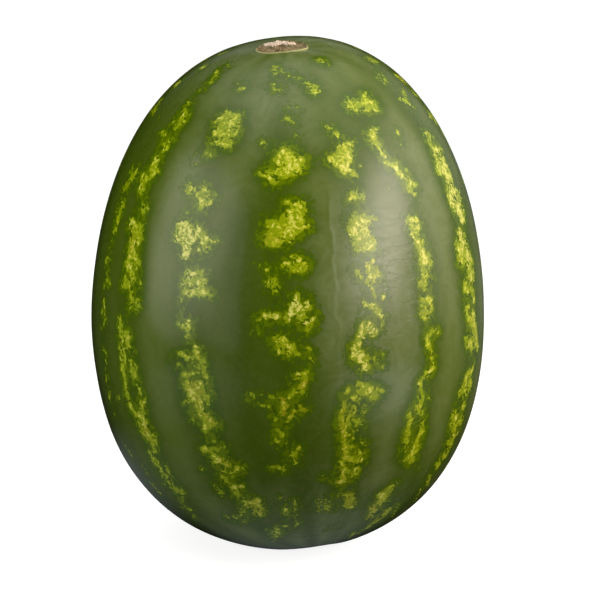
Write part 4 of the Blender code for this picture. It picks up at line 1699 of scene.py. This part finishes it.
@dataclass
class Scar:
    """A corky disc let into one end of the fruit.

    A pair is the two shares of the radius that a step eases between. A kind of waves is given by
    its step from the seed, its length and its count.
    """

    OUTLINE_WAVES = (0, 1.6, 8)
    STRAND_STEP = 3
    DRIFT_WAVES = (4, 5.0 * MM, 12)
    RAGGED_WAVES = (5, 7.0 * MM, 16)
    TORN_WAVES = (7, 2.6 * MM, 40)
    CRUMB_WAVES = (8, 1.1 * MM, 40)

    name: str
    place: Vector
    normal: Vector
    radius: float
    lip_height: float
    trough_depth: float
    seed: int
    pulp_radius: float = 0.0
    pulp_height: float = 0.0
    segments: int = 120
    rings: int = 40
    aspect: float = 1.0
    sunk: float = 0.0
    back_depth: float = 3.0 * MM
    outline_share: float = 0.035
    rim_rise: Range = (0.91, 0.95)
    rim_fall: Range = (0.985, 1.0)
    rim_front: Range = (-0.25, 0.45)
    trough_fall: Range = (0.2, 0.8)
    fibre_fade: Range = (0.0, 0.2)
    fibre_height: float = 0.3 * MM
    crumb_height: float = 0.12 * MM
    torn_height: float = 0.22 * MM
    pulp_crumb_height: float = 0.16 * MM
    edge_fall: Range = (0.965, 1.0)
    edge_drop: float = 1.5 * MM
    strand_counts: tuple[int, ...] = (17, 29, 43, 61)
    strand_bend: float = 1.5
    strand_gain: float = 1.0 / 3.0
    drift_gain: float = 0.3
    pulp_offset: tuple[float, float, float] = (-0.14, 0.30, 0.0)
    pulp_oval: tuple[float, float, float] = (1.0, 0.8, 1.0)
    pulp_edge: Range = (0.7, 1.25)
    pulp_raggedness: float = 0.28

    def frame(self) -> Array:
        """Turn whose +Z points out of the skin and -Y towards the fruit's front."""
        out = self.normal.normalized()
        side = out.cross(Vector((0.0, -1.0, 0.0))).normalized()
        return np.array(Matrix((side, out.cross(side), out)).transposed())

    def uneven(self, step: int, size: float, count: int, places: Array) -> Array:
        """Seeded unevenness at places of the disc."""
        return Waves(self.seed + step, size, count).at(places)

    def grid(self) -> tuple[Array, list[tuple[int, ...]]]:
        """Flat disc of rings round one middle vertex, closed behind by a fan to one last vertex.

        Returns:
            Ring and angle share of each vertex, and the faces.
        """
        shares = [(0.0, 0.0)]
        for ring in range(1, self.rings + 1):
            shares += [(ring / self.rings, i / self.segments) for i in range(self.segments)]
        shares.append((0.0, 0.0))
        edge, back = 1 + (self.rings - 1) * self.segments, len(shares) - 1
        faces = []
        for i in range(self.segments):
            j = (i + 1) % self.segments
            faces.append((0, 1 + i, 1 + j))
            faces.append((back, edge + j, edge + i))
            for ring in range(self.rings - 1):
                inner, outer = 1 + ring * self.segments, 1 + (ring + 1) * self.segments
                faces.append((inner + i, outer + i, outer + j, inner + j))
        return np.array(shares), faces

    def make(self, material: bpy.types.Material) -> None:
        """Build the disc in place.

        Args:
            material: its finish.
        """
        shares, faces = self.grid()
        share, turn = shares[:, 0], shares[:, 1] * TAU
        heading = np.stack([np.cos(turn), np.sin(turn), np.zeros_like(turn)], axis=1)
        reach = self.radius * (1.0 + self.outline_share * self.uneven(*self.OUTLINE_WAVES, heading))
        flat = heading * (share * reach)[:, None] * np.array([1.0, self.aspect, 1.0])
        rim = smoothstep(*self.rim_rise, share) * (1.0 - smoothstep(*self.rim_fall, share))
        fibres = self.fibres(flat, turn, share)
        pulp = self.pulp(flat)
        places = flat.copy()
        places[:, 2] = self.height(flat, share, rim, fibres, pulp) - self.sunk
        mesh = bpy.data.meshes.new(self.name)
        mesh.from_pydata(self.settle(places).tolist(), [], faces)
        mesh.shade_smooth()
        mesh.materials.append(material)
        paint(mesh, "rim", rim * smoothstep(*self.rim_front, -np.sin(turn)))
        paint(mesh, "pulp", np.clip(pulp, 0.0, 1.0))
        paint(mesh, "ridge", np.clip(0.5 + 0.5 * fibres, 0.0, 1.0))
        finish_piece(self.name, mesh)

    def height(self, flat: Array, share: Array, rim: Array, fibres: Array,
               pulp: Array) -> Array:
        """Height of each vertex of the disc; its edge and its back lie inside the fruit.

        Args:
            flat: places on the flat disc.
            share: shares of the radius.
            rim: how much each vertex is rim.
            fibres: the strands.
            pulp: how much each vertex is pulp.

        Returns:
            Heights over the skin.
        """
        torn = self.uneven(*self.TORN_WAVES, flat)
        crumbs = self.uneven(*self.CRUMB_WAVES, flat)
        rough = self.fibre_height * fibres + self.crumb_height * crumbs
        rough *= smoothstep(*self.fibre_fade, 1.0 - share)
        trough = rough - self.trough_depth * smoothstep(*self.trough_fall, share)
        height = self.lip_height * rim + trough * (1.0 - rim)
        height += pulp * (self.pulp_height + self.torn_height * torn + self.pulp_crumb_height * crumbs)
        height -= self.edge_drop * smoothstep(*self.edge_fall, share)
        height[-1] = -self.trough_depth - self.back_depth
        return height

    def fibres(self, flat: Array, turn: Array, share: Array) -> Array:
        """Radial strands of the dry scar, minus one to one.

        Args:
            flat: places on the flat disc.
            turn: angles round it.
            share: shares of the radius.

        Returns:
            How far each vertex is raised or let in by the strands.
        """
        rng = np.random.default_rng(self.seed + self.STRAND_STEP)
        strands = np.zeros_like(turn)
        for count in self.strand_counts:
            bend = 2.0 * rng.uniform(-self.strand_bend, self.strand_bend)
            strands += np.sin(turn * count + rng.uniform(0.0, TAU) + bend * share)
        drift = self.drift_gain * self.uneven(*self.DRIFT_WAVES, flat)
        return np.clip(self.strand_gain * strands + drift, -1.0, 1.0)

    def pulp(self, flat: Array) -> Array:
        """Torn pale middle, zero to one."""
        if self.pulp_radius <= 0.0:
            return np.zeros(len(flat))
        ragged = self.pulp_raggedness * self.uneven(*self.RAGGED_WAVES, flat)
        offset = flat - np.array(self.pulp_offset) * self.radius
        spread = np.linalg.norm(offset / np.array(self.pulp_oval), axis=1) / self.pulp_radius
        return 1.0 - smoothstep(*self.pulp_edge, spread + ragged)

    def settle(self, places: Array) -> Array:
        """Carry the disc's places into the fruit's frame, bent to the skin's roundness."""
        bent = places.copy()
        bent[:, 2] -= (places[:, 0] ** 2 + places[:, 1] ** 2) / (2.0 * SKIN_CURVE_RADIUS)
        return bent @ self.frame().T + np.array(self.place)


# ------------ studio


PLAIN = (1.0, 1.0, 1.0)
DAYLIGHT = (1.0, 0.92, 0.85)
WARM = (1.0, 0.88, 0.81)


@dataclass(frozen=True)
class Softbox:
    """One rectangular lamp aimed at the middle of the fruit, in degrees and metres."""

    name: str
    azimuth: float
    elevation: float
    distance: float
    width: float
    height: float
    radiance: float
    edge: float = 0.1
    mirrored: bool = True
    shines: bool = True
    roll: float = 0.0
    tint: tuple[float, float, float] = DAYLIGHT
    roundness: float = 4.0

    def place(self, target: Vector) -> None:
        """Add the lamp.

        Args:
            target: where it points.
        """
        turn, rise = math.radians(self.azimuth), math.radians(self.elevation)
        back = Vector((
            math.sin(turn) * math.cos(rise), -math.cos(turn) * math.cos(rise), math.sin(rise)
        ))
        data = bpy.data.lights.new(self.name, "AREA")
        data.shape = "RECTANGLE"
        data.size, data.size_y = self.width, self.height
        data.energy = self.radiance * math.pi * self.width * self.height
        data.color = self.tint
        self.soften(data)
        lamp = bpy.data.objects.new(self.name, data)
        lamp.location = target + back * self.distance
        lamp.rotation_mode = "QUATERNION"
        aimed = back.to_track_quat("Z", "Y")
        lamp.rotation_quaternion = aimed @ Quaternion((0.0, 0.0, 1.0), math.radians(self.roll))
        lamp.visible_camera = False
        lamp.visible_glossy = self.mirrored
        lamp.visible_diffuse = self.shines
        link(lamp)

    def soften(self, data: bpy.types.AreaLight) -> None:
        """Round the lamp's corners and let it fade towards its edge.

        Args:
            data: the lamp's data.
        """
        data.use_nodes = True
        graph = Graph(data.node_tree)
        across, along, _ = graph.separate(graph.add("ShaderNodeNewGeometry").outputs["Parametric"])
        powers = []
        for part in (across, along):
            off_middle = graph.math("ABSOLUTE", graph.minus(graph.product(part, 2.0), 1.0))
            powers.append(graph.math("POWER", off_middle, self.roundness))
        reach = graph.math("POWER", graph.sum(*powers), 1.0 / self.roundness)
        fade = graph.minus(1.0, graph.ramp(reach, 1.0 - self.edge, 1.0))
        graph.feed(data.node_tree.nodes["Emission"], "Strength", fade)


class Measure(Enum):
    """What a glow is measured along: an axis, or the distance from a spot on the floor."""

    RIGHT = 0
    BACK = 1
    UP = 2
    FROM_REST = (0.0, 0.0, 0.0)
    FROM_RIGHT_POOL = (0.33, -0.27, 0.0)
    FROM_LEFT_POOL = (-0.34, -0.32, 0.0)

    def read(self, graph: Graph, place: Socket) -> Socket:
        """Value of the measure at a place."""
        if isinstance(self.value, int):
            return graph.separate(place)[self.value]
        node = graph.add("ShaderNodeVectorMath", {0: place, 1: self.value}, operation="DISTANCE")
        return node.outputs["Value"]


@dataclass(frozen=True)
class Glow:
    """Soft light of the surroundings, full where each measure is past the second of its limits."""

    strength: float
    limits: tuple[tuple[Measure, float, float], ...]

    def shine(self, graph: Graph, place: Socket) -> Socket:
        """Strength of the glow at a place."""
        ramps = [graph.ramp(measure.read(graph, place), low, high) for measure, low, high in self.limits]
        return graph.product(*ramps, self.strength)


@dataclass
class Studio:
    """Pale floor, soft light and the camera.

    What the floor and the room give the fruit is set apart from what the camera sees of them. The
    diffuse glows light the fruit, and the mirrored ones show in its gloss.
    """

    form: BodyForm
    camera_elevation: float = 12.0
    camera_radii: float = 12.0
    lens_mm: float = 140.9
    sensor_mm: float = 36.0
    aim_right_share: float = 0.0612
    aim_down_share: float = 0.0371
    floor_size: float = 40.0
    floor_seen: int = 170
    floor_unseen: int = 25
    floor_glow: float = 0.86
    floor_tint: tuple[float, float, float, float] = (0.86, 0.98, 1.1, 1.0)
    floor_diffuse: tuple[Glow, ...] = (
        Glow(0.6, ((Measure.FROM_REST, 1.6, 0.6), (Measure.RIGHT, -0.04, -0.35))),
        Glow(0.36, ((Measure.FROM_REST, 0.17, 0.09),)),
        Glow(0.08, ((Measure.FROM_REST, 1.6, 0.6), (Measure.RIGHT, 0.3, -0.02))),
    )
    floor_mirrored: tuple[Glow, ...] = (
        Glow(0.9, ((Measure.FROM_RIGHT_POOL, 0.25, 0.05),)),
        Glow(0.3, ((Measure.FROM_LEFT_POOL, 0.3, 0.1),)),
        Glow(0.16, ((Measure.FROM_REST, 0.13, 0.08), (Measure.BACK, -0.01, -0.07),
                    (Measure.RIGHT, -0.1, -0.02))),
        Glow(0.09, ((Measure.RIGHT, 0.15, 0.45), (Measure.BACK, -0.1, 0.3))),
        Glow(0.1, ((Measure.RIGHT, -0.05, -0.12), (Measure.FROM_REST, 0.24, 0.14))),
    )
    ceiling: Glow = Glow(1.0, ((Measure.UP, 0.68, 0.98),))
    ceiling_middle: float = 0.92
    ceiling_sides: float = 1.1
    room: tuple[Glow, ...] = (
        Glow(0.22, ((Measure.BACK, 0.8, 0.97), (Measure.UP, 0.12, 0.4))),
        Glow(0.4, ((Measure.RIGHT, 0.2, 0.7), (Measure.UP, 0.05, 0.5))),
        Glow(0.2, ((Measure.RIGHT, 0.2, 0.7), (Measure.UP, 0.55, 0.1))),
        Glow(0.1, ((Measure.RIGHT, 0.25, 0.5), (Measure.BACK, 0.4, 0.7))),
    )
    lamps: tuple[Softbox, ...] = (
        Softbox("left_box", -62.0, 18.0, 0.9, 0.96, 1.06, 2.1, edge=0.6, shines=False),
        Softbox("left_strip", -36.0, 9.0, 0.9, 0.36, 0.96, 0.7, edge=0.4, shines=False),
        Softbox("right_screen", 70.0, 22.0, 0.95, 2.1, 1.5, 1.45, edge=0.7, tint=WARM),
        Softbox("right_lamp", 59.0, 18.0, 0.85, 1.16, 0.52, 6.2, edge=0.95, roll=42.0, tint=WARM),
        Softbox("front_wash", -50.0, 11.0, 1.4, 1.3, 1.1, 2.6, mirrored=False, tint=PLAIN),
        Softbox("right_wash", 100.0, 30.0, 1.4, 1.1, 1.1, 2.4, mirrored=False, tint=PLAIN),
        Softbox("top_wash", -66.0, 58.0, 1.4, 1.2, 1.2, 1.7, mirrored=False, tint=PLAIN),
    )

    @property
    def middle(self) -> Vector:
        """Centre of the fruit."""
        return Vector((0.0, 0.0, self.form.centre_level))

    def build(self) -> None:
        """Add everything that isn't the fruit."""
        self.floor()
        self.world()
        for lamp in self.lamps:
            lamp.place(self.middle)
        self.camera()
        view = bpy.context.scene.view_settings
        view.view_transform = "Standard"
        view.look = "None"
        LOG.info("studio: %d lamps", len(self.lamps))

    def floor(self) -> None:
        """Large pale floor that keeps only a soft shadow under the fruit."""
        half = self.floor_size / 2.0
        mesh = bpy.data.meshes.new("floor")
        corners = [(-half, -half, 0.0), (half, -half, 0.0), (half, half, 0.0), (-half, half, 0.0)]
        mesh.from_pydata(corners, [], [(0, 1, 2, 3)])
        mesh.materials.append(self.floor_finish())
        floor = bpy.data.objects.new("floor", mesh)
        link(floor)

    def floor_finish(self) -> bpy.types.Material:
        """Matt finish of the floor, with the light that it gives the fruit.

        Returns:
            The floor's material.
        """
        material = bpy.data.materials.new("pale_floor")
        material.use_nodes = True
        graph = Graph(material.node_tree)
        graph.tree.nodes.clear()
        rays = graph.add("ShaderNodeLightPath").outputs
        seen = rays["Is Camera Ray"]
        colours = [linear(grey, grey, grey) for grey in (self.floor_unseen, self.floor_seen)]
        shade = graph.add("ShaderNodeBsdfDiffuse", {"Color": graph.mix(seen, *colours)})
        place = graph.add("ShaderNodeTexCoord").outputs["Object"]
        diffuse = graph.sum(*(glow.shine(graph, place) for glow in self.floor_diffuse))
        mirrored = graph.sum(*(glow.shine(graph, place) for glow in self.floor_mirrored))
        strength = graph.sum(
            graph.product(seen, self.floor_glow),
            graph.product(rays["Is Diffuse Ray"], diffuse),
            graph.product(rays["Is Glossy Ray"], mirrored),
        )
        tint = graph.mix(seen, self.floor_tint, (*PLAIN, 1.0))
        light = graph.add("ShaderNodeEmission", {"Color": tint, "Strength": strength})
        both = graph.add("ShaderNodeAddShader", {0: shade.outputs[0], 1: light.outputs[0]})
        graph.add("ShaderNodeOutputMaterial", {"Surface": both.outputs[0]})
        return material

    def world(self) -> None:
        """White surroundings to the camera; to the fruit a dark room with a bright ceiling."""
        world = bpy.data.worlds.new("studio")
        world.use_nodes = True
        graph = Graph(world.node_tree)
        graph.tree.nodes.clear()
        heading = graph.add("ShaderNodeTexCoord").outputs["Generated"]
        right = Measure.RIGHT.read(graph, heading)
        brighter = graph.sum(graph.product(right, right, self.ceiling_sides), self.ceiling_middle)
        overhead = graph.product(self.ceiling.shine(graph, heading), brighter)
        around = graph.sum(overhead, *(glow.shine(graph, heading) for glow in self.room))
        seen = graph.add("ShaderNodeLightPath").outputs["Is Camera Ray"]
        strength = graph.sum(seen, graph.product(graph.minus(1.0, seen), around))
        sky = graph.add("ShaderNodeBackground", {"Color": (*PLAIN, 1.0), "Strength": strength})
        graph.add("ShaderNodeOutputWorld", {"Surface": sky.outputs[0]})
        bpy.context.scene.world = world

    def camera(self) -> None:
        """Long lens a little above the fruit, framing it left of the middle."""
        rise = math.radians(self.camera_elevation)
        forward = Vector((0.0, math.cos(rise), -math.sin(rise)))
        up = Vector((0.0, math.sin(rise), math.cos(rise)))
        radius = self.form.radius
        place = self.middle - forward * self.camera_radii * radius
        aim = self.middle + Vector((self.aim_right_share * radius, 0.0, 0.0))
        aim -= up * self.aim_down_share * radius
        data = bpy.data.cameras.new("camera")
        data.lens = self.lens_mm
        data.sensor_width = self.sensor_mm
        camera = bpy.data.objects.new("camera", data)
        camera.location = place
        camera.rotation_mode = "QUATERNION"
        camera.rotation_quaternion = (place - aim).to_track_quat("Z", "Y")
        link(camera)
        bpy.context.scene.camera = camera


# ------------ main


def main() -> None:
    """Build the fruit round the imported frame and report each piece."""
    logging.basicConfig(level=logging.INFO, format="%(name)s: %(message)s")
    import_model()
    form = BodyForm.from_box(*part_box(NODE))
    Studio(form).build()
    effects = SharedEffects()
    rind = Rind(form)
    rind.make(RindFinish().build(effects))
    cork = CorkFinish("corky_scar").build(effects)
    place, normal = rind.seat(STEM_POLAR, STEM_SEAT_RADIUS, Vector(rind.scar_offset))
    Scar("stem_scar", place, normal, radius=14.7 * MM, lip_height=0.35 * MM, trough_depth=0.6 * MM,
         pulp_radius=7.2 * MM, pulp_height=0.7 * MM, seed=71, aspect=rind.scar_aspect,
         sunk=0.05 * MM).make(cork)
    place, normal = rind.seat(BLOSSOM_POLAR, BLOSSOM_SEAT_RADIUS, Vector())
    Scar("blossom_scar", place, normal, radius=4.6 * MM, lip_height=0.2 * MM, trough_depth=0.2 * MM,
         seed=83, segments=64, rings=16).make(cork)


if __name__ == "__main__":
    main()
